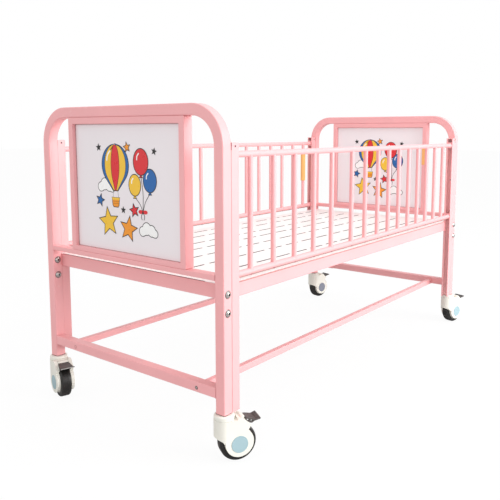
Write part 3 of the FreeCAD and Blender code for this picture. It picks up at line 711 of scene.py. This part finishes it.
def post_gap_shades():
    """Painted shade: dark slits between each guide post's top and its leg, and dark discs in its
    vent holes.
    """
    bm = bmesh.new()
    for _, end in ENDS:
        for _, side in SIDES:
            for y, inward in ((HALF_W, -1), (POST_INNER, 1)):
                centre = Vector((MID.x + end * (HALF_L - TUBE_DEPTH),
                                 MID.y + side * (y + inward * SLIT_DEPTH), 0))
                rings = []
                for drop, half in ((21, 0.4), (12, 1.1), (0.5, 1.5)):
                    section = rounded_section(-half, half, -0.8, 0.8, 0.3, 2)
                    rings.append([centre + Vector((u * MM, v * MM, POST_TOP - drop * MM))
                                  for u, v in section])
                loft(bm, rings)
            # dark discs in the vent holes: painted shade
            for y, out in ((HALF_W, side), (POST_INNER, -side)):
                place = facing((MID.x + end * CHANNEL_X, MID.y + side * y, VENT_Z), (0, out, 0))
                lathe(bm, [(0, -0.6), (VENT_SHADE_R, -0.6), (VENT_SHADE_R, 0.15), (0, 0.35)], place, 24,
                      closed=False, index=1)
    finish_mesh("post_top_gap_shades", bm, [GAP_SHADE, HOLE_SHADE], "frame")


def leg_foot_shades():
    """Thin dark lip round each leg's foot, painted shade where the leg meets the caster."""
    bm = bmesh.new()
    for end_name, _ in ENDS:
        low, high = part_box(end_name + "_end_tube")
        for _, side in SIDES:
            edge = MID.y + side * HALF_W
            y0, y1 = sorted((edge, edge - side * TUBE_WIDTH))
            rings = []
            for rise, grow in ((0.2, 0.0), (0.4, 0.4 * MM), (1.5, 0.4 * MM), (1.7, 0.0)):
                section = rounded_section(low[0] - grow, high[0] + grow, y0 - grow, y1 + grow,
                                          LEG_RADIUS, 3)
                rings.append([Vector((u, v, LEG_FOOT + rise * MM)) for u, v in section])
            loft(bm, rings)
    finish_mesh("leg_foot_shade_lips", bm, GAP_SHADE, "frame")


leg_fasteners()
frame_screws()
post_gap_shades()
leg_foot_shades()


# ---- casters

def caster_frames():
    """Frame of each caster in millimetres: swivel axis as Z, wheel trailing along X."""
    joints = {joint["name"]: joint for joint in frame["record"]["behaviour"]["joints"]}
    frames = {}
    for name in CASTER_NAMES:
        swivel = Vector(joints["swivel_" + name + "_turn"]["pos_m"])
        wheel = Vector(joints["wheel_" + name + "_spin"]["pos_m"])
        angle = math.atan2(wheel.y - swivel.y, wheel.x - swivel.x)
        frames[name] = (Matrix.Translation((swivel.x, swivel.y, 0))
                        @ Matrix.Rotation(angle, 4, "Z") @ IN_MM)
    return frames


ACROSS = Matrix.Rotation(math.pi / 2, 4, "X")
AXLE = Matrix.Translation((TRAIL, 0, WHEEL_R)) @ ACROSS


def housing_form():
    """Moulded housing in the caster's own frame: drum, hood and cheeks, hollowed."""
    drum = bmesh.new()
    drum_r = HOUSING_R - EASE
    half = HOUSING_HALF - EASE
    lathe(drum, [(0, 60), (drum_r, 60), (drum_r, HOUSING_TOP - 0.6),
                 (drum_r - 0.6, HOUSING_TOP), (0, HOUSING_TOP)], Matrix.Identity(4), 96,
          closed=False)
    hood = bmesh.new()
    round_cheek = arc(TRAIL, CHEEK_Z, CHEEK_R, 151.4, 412.6, 60)
    slab(hood, round_cheek + [(62, 92), (69, 104), (44, 128), (31, 128), (31, HOUSING_TOP),
                              (0, HOUSING_TOP)], -half, half)
    soften(hood, 3.0, lambda edge: abs(edge.verts[0].co.y - edge.verts[1].co.y) < 1
           and min(v.co.z for v in edge.verts) < 127.9
           and not all(v.co.x < 32 and v.co.z > 70 for v in edge.verts), 4)
    skirt = bmesh.new()
    slab(skirt, [(-40, 50), (-40, 74), (-30, 74), (-9, 64), (-9, 50)], -40, 40)
    pocket = bmesh.new()
    lathe(pocket, [(0, -POCKET_HALF), (POCKET_R, -POCKET_HALF), (POCKET_R, POCKET_HALF),
                   (0, POCKET_HALF)], AXLE, 96, closed=False)
    notch = bmesh.new()
    slab(notch, [(38, WHEEL_R), (95, WHEEL_R), (95, 140), (38, 140)], -POCKET_HALF, POCKET_HALF)
    cuts = [scratch_object(bm) for bm in (skirt, pocket, notch)]
    for face in (-1, 1):
        seat = bmesh.new()
        lathe(seat, [(0, face * 29), (CAP_R + 0.3, face * 29), (CAP_R + 0.3, face * 32),
                     (0, face * 32)], AXLE, 64, closed=False)
        cuts.append(scratch_object(seat))
    form = combine(scratch_object(drum), [scratch_object(hood)], cuts)
    bmesh.ops.dissolve_limit(form, angle_limit=math.radians(0.4), verts=form.verts,
                             edges=form.edges)
    return form


def pedal_form():
    """Folded foot plate on two pierced wings, dark, with a pale strip on its tip as a painted
    highlight; the arm and lug it grows from, ivory.
    """
    plate = bmesh.new()
    sections = ((55, 13.0, 123.0), (64, 18.0, 120.4), (84, 21.8, 114.4), (98.5, 23.8, 118.2))
    loft(plate, [[Vector((x, -half, top)), Vector((x, half, top)), Vector((x, half, top - 4)),
                  Vector((x, -half, top - 4))] for x, half, top in sections])
    soften(plate, 1.1, is_sharp, 3)
    for x, top in ((87.6, 115.5), (91.2, 116.4), (94.8, 117.3)):
        slab(plate, rounded_section(x - 0.7, x + 0.7, top - 1, top + 0.5, 0.4, 2), -20.6, 20.6)
    # pale strip on the plate's tip: a painted highlight
    edge = bmesh.new()
    slab(edge, [(97.6, 117.6), (99.6, 117.4), (99.6, 114.6), (97.6, 114.2)], -22.6, 22.6)
    soften(edge, 0.6, is_sharp, 2)
    for face in edge.faces:
        face.material_index = 2
    wing = bmesh.new()
    outline = [(55, 120.5), (84, 112.5), (96, 115.6), (94.7, 113.6), (84.7, 108.5), (76, 103.2),
               (71, 104.2), (56, 113.4)]
    for face in (-1, 1):
        slab(wing, outline, face * 13, face * 17)
    soften(wing, 0.6, is_sharp, 2)
    holes = []
    for x, z, radius in ((64.2, 115.2, 3.3), (74.6, 111.2, 2.9)):
        hole = bmesh.new()
        lathe(hole, [(0, -30), (radius, -30), (radius, 30), (0, 30)],
              Matrix.Translation((x, 0, z)) @ ACROSS, 24, closed=False)
        holes.append(scratch_object(hole))
    form = combine(scratch_object(wing), [], holes)
    arm = bmesh.new()
    slab(arm, [(46, 127), (52, 125.5), (58, 121.5), (58, 117.5), (52, 115), (46, 115)], -12, 12)
    soften(arm, 1.5, is_sharp, 3)
    lathe(arm, [(2.6, -17), (5.4, -17), (6, -16.4), (6, 16.4), (5.4, 17), (2.6, 17)],
          Matrix.Translation((46, 0, 121)) @ ACROSS, 32)
    for face in arm.faces:
        face.material_index = 1
    for part in (plate, edge, arm):
        joined = bpy.data.meshes.new("scratch")
        part.to_mesh(joined)
        part.free()
        form.from_mesh(joined)
        bpy.data.meshes.remove(joined)
    return form


def tyre_form():
    """Rubber tyre with rounded shoulders, a flattened tread and fine rings moulded in it."""
    half = TYRE_HALF
    upper = [(TYRE_INNER, half - 0.6), (41.0, half), (43.4, half), (43.8, half - 0.5),
             (44.6, half - 0.5), (45.0, half)]
    upper += arc(WHEEL_R - 6.5, half - 6.5, 6.5, 90, 8, 7)
    upper += [(WHEEL_R, 9.4), (WHEEL_R, 5.4), (WHEEL_R - 0.6, 5.1), (WHEEL_R - 0.6, 4.3),
              (WHEEL_R, 4.0)]
    form = bmesh.new()
    lathe(form, upper + [(r, -h) for r, h in reversed(upper)], AXLE, 112)
    return form


def cap_form():
    """Two hub caps with a softened rim and a faint raised ring."""
    form = bmesh.new()
    for face in (-1, 1):
        rim = arc(CAP_R - 0.8, CAP_FACE - 0.8, 0.8, 0, 90, 3)
        profile = [(0, 29.0), (CAP_R, 29.0)] + rim
        profile += [(21.6, CAP_FACE), (21.2, CAP_FACE - 0.35), (20.6, CAP_FACE - 0.35),
                    (20.2, CAP_FACE - 0.1), (0, CAP_FACE - 0.1)]
        lathe(form, [(r, face * h) for r, h in profile], AXLE, 64, closed=False)
    return form


def placed(bm, place):
    """Copy of a bmesh moved by a matrix."""
    copy = bm.copy()
    bmesh.ops.transform(copy, matrix=place, verts=copy.verts)
    return copy


def dress_casters():
    """Put each moulded form at its place on all four casters."""
    forms = (
        ("housing", "swivel_", housing_form(), IVORY, 33.0),
        ("hub_caps", "swivel_", cap_form(), HUB_BLUE, 38.0),
        ("tyre", "wheel_", tyre_form(), TYRE, 50.0),
        ("pedal", "pedal_", pedal_form(), [PEDAL, IVORY, LIP_HIGHLIGHT], 38.0),
    )
    rings = bmesh.new()
    dome = arc(RING_R - 5, RING_TOP - 5, 5, 0, 80, 6)
    profile = [(0, PIN_FOOT), (8, PIN_FOOT), (8, RING_LOW), (RING_R - 0.7, RING_LOW),
               (RING_R, RING_LOW + 0.7)] + dome + [(20, RING_TOP - 0.1), (5, RING_TOP - 0.1),
               (5, STEM_TOP), (0, STEM_TOP)]
    for name, place in caster_frames().items():
        lathe(rings, profile, place, 72, closed=False)
        for kind, body, form, mat, sharp in forms:
            node = "caster_" + name + "_" + kind
            finish = CAP_SHADE if (kind, name) == ("hub_caps", "head_left") else mat
            finish_mesh(node + "_moulded", placed(form, place), finish, body + name, node,
                        sharp=sharp)
    finish_mesh("caster_rings_moulded", rings, IVORY, "frame", "caster_stems")
    for _, _, form, _, _ in forms:
        form.free()


dress_casters()


# ---- grip

def foam_grip():
    """Foam sleeve with soft ends."""
    low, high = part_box("left_rail_grip")
    centre = Vector(((low[0] + high[0]) / 2, (low[1] + high[1]) / 2, low[2]))
    radius = (high[0] - low[0]) / 2 / MM
    length = (high[2] - low[2]) / MM
    profile = [(GRIP_BORE, 0)] + arc(radius - 2, 2, 2, -90, 0, 4) + \
        arc(radius - 2, length - 2, 2, 0, 90, 4) + [(GRIP_BORE, length)]
    bm = bmesh.new()
    lathe(bm, profile, Matrix.Translation(centre) @ IN_MM, 48)
    finish_mesh("left_rail_grip_foam", bm, ORANGE, "left_drop_side", "left_rail_grip")


foam_grip()


# ---- print on the end panels: balloons, clouds and stars
# Drawn in millimetres from the middle of the board, x to the viewer's right and z up.

def ellipse(cx, cz, rx, rz):
    """Closed ellipse."""
    return [(cx + rx * math.cos(a), cz + rz * math.sin(a)) for a in around(56)]


def star(cx, cz, radius, turn):
    """Five-pointed star with slightly blunt points."""
    points = []
    for i in range(10):
        angle = math.radians(90 + turn + 36 * i)
        r = radius if i % 2 == 0 else radius * 0.45
        points.append((cx + r * math.cos(angle), cz + r * math.sin(angle)))
    return points


def cloud(cx, cz, size):
    """Outline of a few overlapping puffs with a flat base."""
    puffs = ((-0.62, 0.05, 0.36), (-0.18, 0.28, 0.46), (0.34, 0.16, 0.42), (0.7, -0.02, 0.3))
    points = []
    for angle in around(96):
        dx, dz = math.cos(angle), math.sin(angle)
        reach = 0.1
        for px, pz, pr in puffs:
            along = px * dx + pz * dz
            off = pr * pr - (px * px + pz * pz - along * along)
            if off > 0:
                reach = max(reach, along + math.sqrt(off))
        points.append((cx + size * dx * reach, cz + size * max(dz * reach, -0.3)))
    return points


def offset(points, distance):
    """Closed outline moved outward along its corner normals, inward where negative."""
    area = sum(a[0] * b[1] - b[0] * a[1] for a, b in zip(points, points[1:] + points[:1]))
    way = 1 if area > 0 else -1
    moved = []
    for (ax, az), (bx, bz), (cx, cz) in zip(points[-1:] + points[:-1], points,
                                            points[1:] + points[:1]):
        first = Vector((bz - az, ax - bx)).normalized() * way
        second = Vector((cz - bz, bx - cx)).normalized() * way
        normal = first + second
        if normal.length < 1e-6:
            normal = first
        normal.normalize()
        stretch = min(1 / max(normal.dot(first), 0.35), 2.2)
        moved.append((bx + normal.x * distance * stretch, bz + normal.y * distance * stretch))
    return moved


def curve(points):
    """Smooth run through a few points."""
    run = []
    for i in range(len(points) - 1):
        p0 = points[max(i - 1, 0)]
        p1, p2 = points[i], points[i + 1]
        p3 = points[min(i + 2, len(points) - 1)]
        for t in [k / 10 for k in range(10)]:
            run.append(tuple(0.5 * (2 * b + (c - a) * t + (2 * a - 5 * b + 4 * c - d) * t * t
                                    + (3 * b - a - 3 * c + d) * t ** 3)
                             for a, b, c, d in zip(p0, p1, p2, p3)))
    return run + [points[-1]]


def stroke(points, width):
    """Ribbon along a run of points, as one outline with tapered ends."""
    left, right = [], []
    last = len(points) - 1
    for i, (x, z) in enumerate(points):
        ax, az = points[max(i - 1, 0)]
        bx, bz = points[min(i + 1, last)]
        side = Vector((az - bz, bx - ax)).normalized()
        half = width / 2 * (0.45 if i in (0, last) else 1.0)
        left.append((x + side.x * half, z + side.y * half))
        right.append((x - side.x * half, z - side.y * half))
    return left, right


def shine(add, cx, cz, rx, rz, spots, width):
    """White stroke up the left of a balloon, through shares of its radii."""
    add("white", stroke(curve([(cx - rx * a, cz + rz * b) for a, b in spots]), width))


ROUND_SHARE = 0.72  # share of the air balloon's edge that is round
ROUND_TURN = 128  # how far round that part goes, degrees from the crown
MOUTH_HALF = 11  # half width of its mouth
MOUTH_DROP = 1.27  # depth of its mouth below the middle, in radii


def envelope_width(t, radius):
    """Half width and height of the air balloon at a step t from its crown to its mouth."""
    angle = math.radians(ROUND_TURN * min(t / ROUND_SHARE, 1))
    width, height = radius * math.sin(angle), radius * math.cos(angle)
    k = max(t - ROUND_SHARE, 0) / (1 - ROUND_SHARE)
    return width + (MOUTH_HALF - width) * k, height + (-MOUTH_DROP * radius - height) * k


def air_balloon(add, cx, cz, radius):
    """Striped air balloon with its ropes and basket."""
    edge = [envelope_width(i / 26, radius) for i in range(27)]
    whole = [(cx + w, cz + z) for w, z in edge] + [(cx - w, cz + z) for w, z in reversed(edge)]
    add("black", offset(whole, 1.8))
    seams = [math.sin(math.radians(a)) for a in (-90, -52, -18, 18, 52, 90)]
    for colour, a, b in zip(("blue", "yellow", "red", "yellow", "blue"), seams, seams[1:]):
        gore = [(cx + w * a, cz + z) for w, z in edge] + \
            [(cx + w * b, cz + z) for w, z in reversed(edge)]
        add(colour, offset(gore, -0.9))
    shine(add, cx, cz, radius, radius, ((0.62, 0.18), (0.56, 0.46), (0.34, 0.7)), 5.0)
    mouth = cz - MOUTH_DROP * radius
    for x in (-10, 10):
        add("black", stroke([(cx + x, mouth), (cx + x * 1.35, mouth - 25)], 2.4))
    top, low = mouth - 22, mouth - 50
    basket = [(cx - 17, top), (cx + 17, top), (cx + 14, low + 5), (cx + 10, low), (cx - 10, low),
              (cx - 14, low + 5)]
    add("black", offset(basket, 1.8))
    add("orange", offset(basket, -0.6))
    add("yellow", [(cx - 17.5, top + 0.6), (cx + 17.5, top + 0.6), (cx + 16.6, top - 6.5),
                   (cx - 16.6, top - 6.5)])
    for z in (top - 11, top - 18):
        add("black", stroke([(cx - 14.0, z), (cx + 14.0, z)], 1.6))


def toy_balloon(add, colour, cx, cz, rx, rz, tie):
    """Round balloon with a knot, a shine and a string down to the tie."""
    body = ellipse(cx, cz, rx, rz)
    knot = [(cx, cz - rz + 1), (cx + 5.2, cz - rz - 6.5), (cx - 5.2, cz - rz - 6.5)]
    sway = (cx + tie[0]) / 2 + (5 if cx < tie[0] else -5)
    add("black", stroke(curve([(cx, cz - rz - 4), (sway, (cz - rz + tie[1]) / 2), tie]), 2.2))
    add("black", offset(knot, 1.8))
    add("black", offset(body, 1.8))
    add(colour, offset(body, -0.9))
    add(colour, offset(knot, -0.4))
    shine(add, cx, cz, rx, rz, ((0.52, 0.12), (0.48, 0.42), (0.22, 0.66)), 4.0)


def outlined(add, colour, outline, line=1.8):
    """Filled shape with a black line round it."""
    add("black", offset(outline, line))
    add(colour, offset(outline, -line * 0.5))


def draw(add):
    """The whole print."""
    outlined(add, "white", cloud(-92, 0, 40), 1.5)
    air_balloon(add, -48, 72, 62)
    tie = (74.0, -66.0)
    toy_balloon(add, "yellow", 40, 14, 26, 32, tie)
    toy_balloon(add, "blue", 106, 30, 28, 34, tie)
    toy_balloon(add, "red", 68, 84, 32, 39, tie)
    for sign in (-1, 1):
        add("red", ellipse(tie[0] + 10 * sign, tie[1] + 2, 10, 6))
    add("black", ellipse(tie[0], tie[1], 3.4, 4.2))
    for sign in (-1, 1):
        tail = [(tie[0] + sign, tie[1]), (tie[0] + 7 * sign, tie[1] - 11),
                (tie[0] + 4 * sign, tie[1] - 22)]
        add("black", stroke(curve(tail), 2.2))
    outlined(add, "white", cloud(96, -124, 40), 1.5)
    for colour, spot in (("yellow", (-84, -106, 46, 8)), ("orange", (8, -120, 39, -10)),
                         ("red", (36, -62, 20, 12)), ("blue", (-122, -40, 19, -14))):
        outlined(add, colour, star(*spot))
    outlined(add, "orange", star(8, 126, 15, 10), 1.5)
    for spot in ((-124, 124, 13, 6), (126, 116, 12, -12), (-14, -64, 12, 0)):
        add("black", star(*spot))


def board_print(end_name, face):
    """The print on one face of a board; face is the X direction that it looks in."""
    low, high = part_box(end_name + "_panel_board")
    middle = Vector(((high if face > 0 else low)[0], (low[1] + high[1]) / 2,
                     (low[2] + high[2]) / 2))
    bm = bmesh.new()
    order = list(PRINTS)
    layers = []

    def add(colour, outline):
        layers.append(colour)
        depth = face * len(layers) * PRINT_STEP

        def spot(x, z):
            return middle + Vector((depth, face * x, z)) * MM
        if isinstance(outline, tuple):
            left, right = outline
            groups = zip(left, right, right[1:], left[1:])
        else:
            groups = [outline]
        for group in groups:
            made = bm.faces.new([bm.verts.new(spot(x, z)) for x, z in group])
            made.normal_update()
            if made.normal.x * face < 0:
                made.normal_flip()
            made.material_index = order.index(colour)

    draw(add)
    side_name = "_outer" if (face < 0) == (end_name == "foot") else "_inner"
    dress(mesh_object(end_name + "_board_print" + side_name, bm, PRINTS.values()), "frame")


for end_name, _ in ENDS:
    for face in (-1, 1):
        board_print(end_name, face)


# ---- deck

def slot_shade_rims():
    """Dark rim round every slot in the deck sheet: painted shade of the slot's depth."""
    bm = bmesh.new()
    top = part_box("deck_sheet")[1][2]
    first = -SLOT_PITCH * (SLOT_COUNT - 1) / 2
    for row in SLOT_ROWS:
        for i in range(SLOT_COUNT):
            place = Vector((MID.x, MID.y, top)) + Vector((first + SLOT_PITCH * i, row, 0)) * MM
            loops = []
            for wider, rise in ((0.0, -0.4), (0.0, 0.08), (SLOT_SHADE_RIM, 0.08), (SLOT_SHADE_RIM, -0.2)):
                half_x, half_y = SLOT_LENGTH / 2 + wider, SLOT_WIDTH / 2 + wider
                loops.append([place + Vector((a * half_x, b * half_y, rise)) * MM
                              for a, b in ((-1, -1), (1, -1), (1, 1), (-1, 1))])
            loft(bm, loops, closed=True)
    finish_mesh("deck_slot_shade_rims", bm, HOLE_SHADE, "frame")


slot_shade_rims()


# ---- painted shade: dark strips under the low tubes and along the side rails

def side_strip(name, body, span, y, top, size):
    """Dark strip of painted shade along X between two ends, centred on y, with its top at a height.
    """
    width, height = size
    section = ((y - width / 2, top - height), (y + width / 2, top - height),
               (y + width / 2, top), (y - width / 2, top))
    bm = bmesh.new()
    loft(bm, [[Vector((x, v, w)) for v, w in section] for x in span])
    soften(bm, 0.5 * MM, is_sharp)
    finish_mesh(name, bm, STRIP_SHADE, body)


def side_strips():
    """Painted shade: a dark strip under each low tube, and another at the top of each side rail."""
    for hand, side in SIDES:
        rail_low, rail_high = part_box("deck_side_rail_" + hand)
        tube_low, tube_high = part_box(hand + "_rail_low_tube")
        span = (tube_low[0] + STRIP_INSET, tube_high[0] - STRIP_INSET)
        side_strip(hand + "_rail_tube_shade", hand + "_drop_side", span,
                   (tube_low[1] + tube_high[1]) / 2, tube_low[2] + TUBE_SHADE_RISE, TUBE_SHADE_SIZE)
        face = rail_low[1] if side < 0 else rail_high[1]
        side_strip("deck_rail_edge_shade_" + hand, "frame", span, face - side * RAIL_SHADE_OUT,
                   rail_high[2] - RAIL_SHADE_DROP, RAIL_SHADE_SIZE)


side_strips()


# ---- CAD nodes that keep their own shape

KEPT = (
    (("_cross_bar", "_lower_bar", "_rail_top_tube", "_rail_low_tube", "_rail_bars",
      "_slide_blocks"), PINK),
    (("_panel_board",), BOARD),
    (("_wheel",), WHEEL_GREY),
    (("_axle",), ZINC),
)
for node in frame["nodes"]:
    for endings, mat in KEPT:
        if node.endswith(endings):
            carry_over(node, mat)
    if node.startswith(("deck_", "stretcher_")):
        carry_over(node, PINK)
    if node.startswith("guide_post_"):
        carry_over(node, POST_PINK_LIT)
carry_over("deck_sheet", DECK_WHITE)
carry_over("head_panel_strip", ORANGE)


# ---- stage, light and camera

FLOOR_GREY = 0.55  # what the floor bounces
FLOOR_GLOW = 1.04  # how bright the camera sees it where nothing shades it
GLOW_SHARE = 0.9  # the rest of what the camera sees is the shaded floor
FLOOR_DROP = 0.5 * MM  # floor below the tyres


def stage_floor():
    """Pale floor, white toward the camera, with the cot's shadow kept faint."""
    mat = cleared(bpy.data.materials.new("studio_floor"))
    diffuse = add_node(mat, "BsdfDiffuse", {"Color": (FLOOR_GREY,) * 3})
    glow = add_node(mat, "Emission", {"Color": (1, 1, 1), "Strength": FLOOR_GLOW})
    seen = add_node(mat, "LightPath").outputs["Is Camera Ray"]
    blend = add_node(mat, "MixShader", {"Fac": maths(mat, "MULTIPLY", seen, GLOW_SHARE),
                                        1: diffuse.outputs[0], 2: glow.outputs[0]})
    add_node(mat, "OutputMaterial", {"Surface": blend.outputs[0]})
    bm = bmesh.new()
    bmesh.ops.create_grid(bm, x_segments=1, y_segments=1, size=30)
    floor = mesh_object("floor", bm, [mat])
    floor.location.z = -FLOOR_DROP


def studio_world(level):
    """White to the camera, a plain soft level for lighting."""
    world = cleared(bpy.data.worlds.new("studio"))
    bpy.context.scene.world = world
    light, backdrop = [add_node(world, "Background", {"Color": (1, 1, 1), "Strength": strength})
                       for strength in (level, 1.0)]
    seen = add_node(world, "LightPath").outputs["Is Camera Ray"]
    blend = add_node(world, "MixShader", {"Fac": seen, 1: light.outputs[0],
                                          2: backdrop.outputs[0]})
    add_node(world, "OutputWorld", {"Surface": blend.outputs[0]})


def softbox(name, place, aim, size, power):
    """Square area lamp pointed at a spot."""
    data = bpy.data.lights.new(name, "AREA")
    data.shape = "SQUARE"
    data.size = size
    data.energy = power
    lamp = link_object(name, data)
    lamp.location = place
    lamp.rotation_euler = (Vector(aim) - Vector(place)).to_track_quat("-Z", "Y").to_euler()


stage_floor()
studio_world(0.88)
softbox("key", (0.9, -4.2, 2.0), (0, 0, 0.5), 2.8, 222)
softbox("front", (-3.5, -2.5, 1.4), (0, 0, 0.5), 1.6, 10)
softbox("fill", (-3.4, 1.6, 1.0), (0, 0.2, 0.4), 2.0, 8)
softbox("top", (0.0, 0.2, 4.0), (0, 0, 0.4), 3.0, 25)

# The camera stands beyond the foot end on the right, a little above the arches.
EYE = MID + Vector((-2.0629, -1.4815, 0.9078))
HEADING = 0.650  # from +X toward +Y
TILT_DOWN = 0.119
ROLL = -0.002
FOCAL_PX = 628.57
FRAME_PX = 500.0
PRINCIPAL_PX = (267.55, 207.41)

camera_data = bpy.data.cameras.new("photo_camera")
camera_data.sensor_width = 36.0
camera_data.lens = FOCAL_PX / FRAME_PX * camera_data.sensor_width
camera_data.shift_x = (FRAME_PX / 2 - PRINCIPAL_PX[0]) / FRAME_PX
camera_data.shift_y = (PRINCIPAL_PX[1] - FRAME_PX / 2) / FRAME_PX
camera = link_object("photo_camera", camera_data)
ahead = Vector((math.cos(HEADING) * math.cos(TILT_DOWN), math.sin(HEADING) * math.cos(TILT_DOWN),
                -math.sin(TILT_DOWN)))
turn = ahead.to_track_quat("-Z", "Y").to_matrix().to_4x4() @ Matrix.Rotation(-ROLL, 4, "Z")
camera.matrix_world = Matrix.Translation(EYE) @ turn
bpy.context.scene.camera = camera
bpy.context.scene.view_settings.view_transform = "Standard"
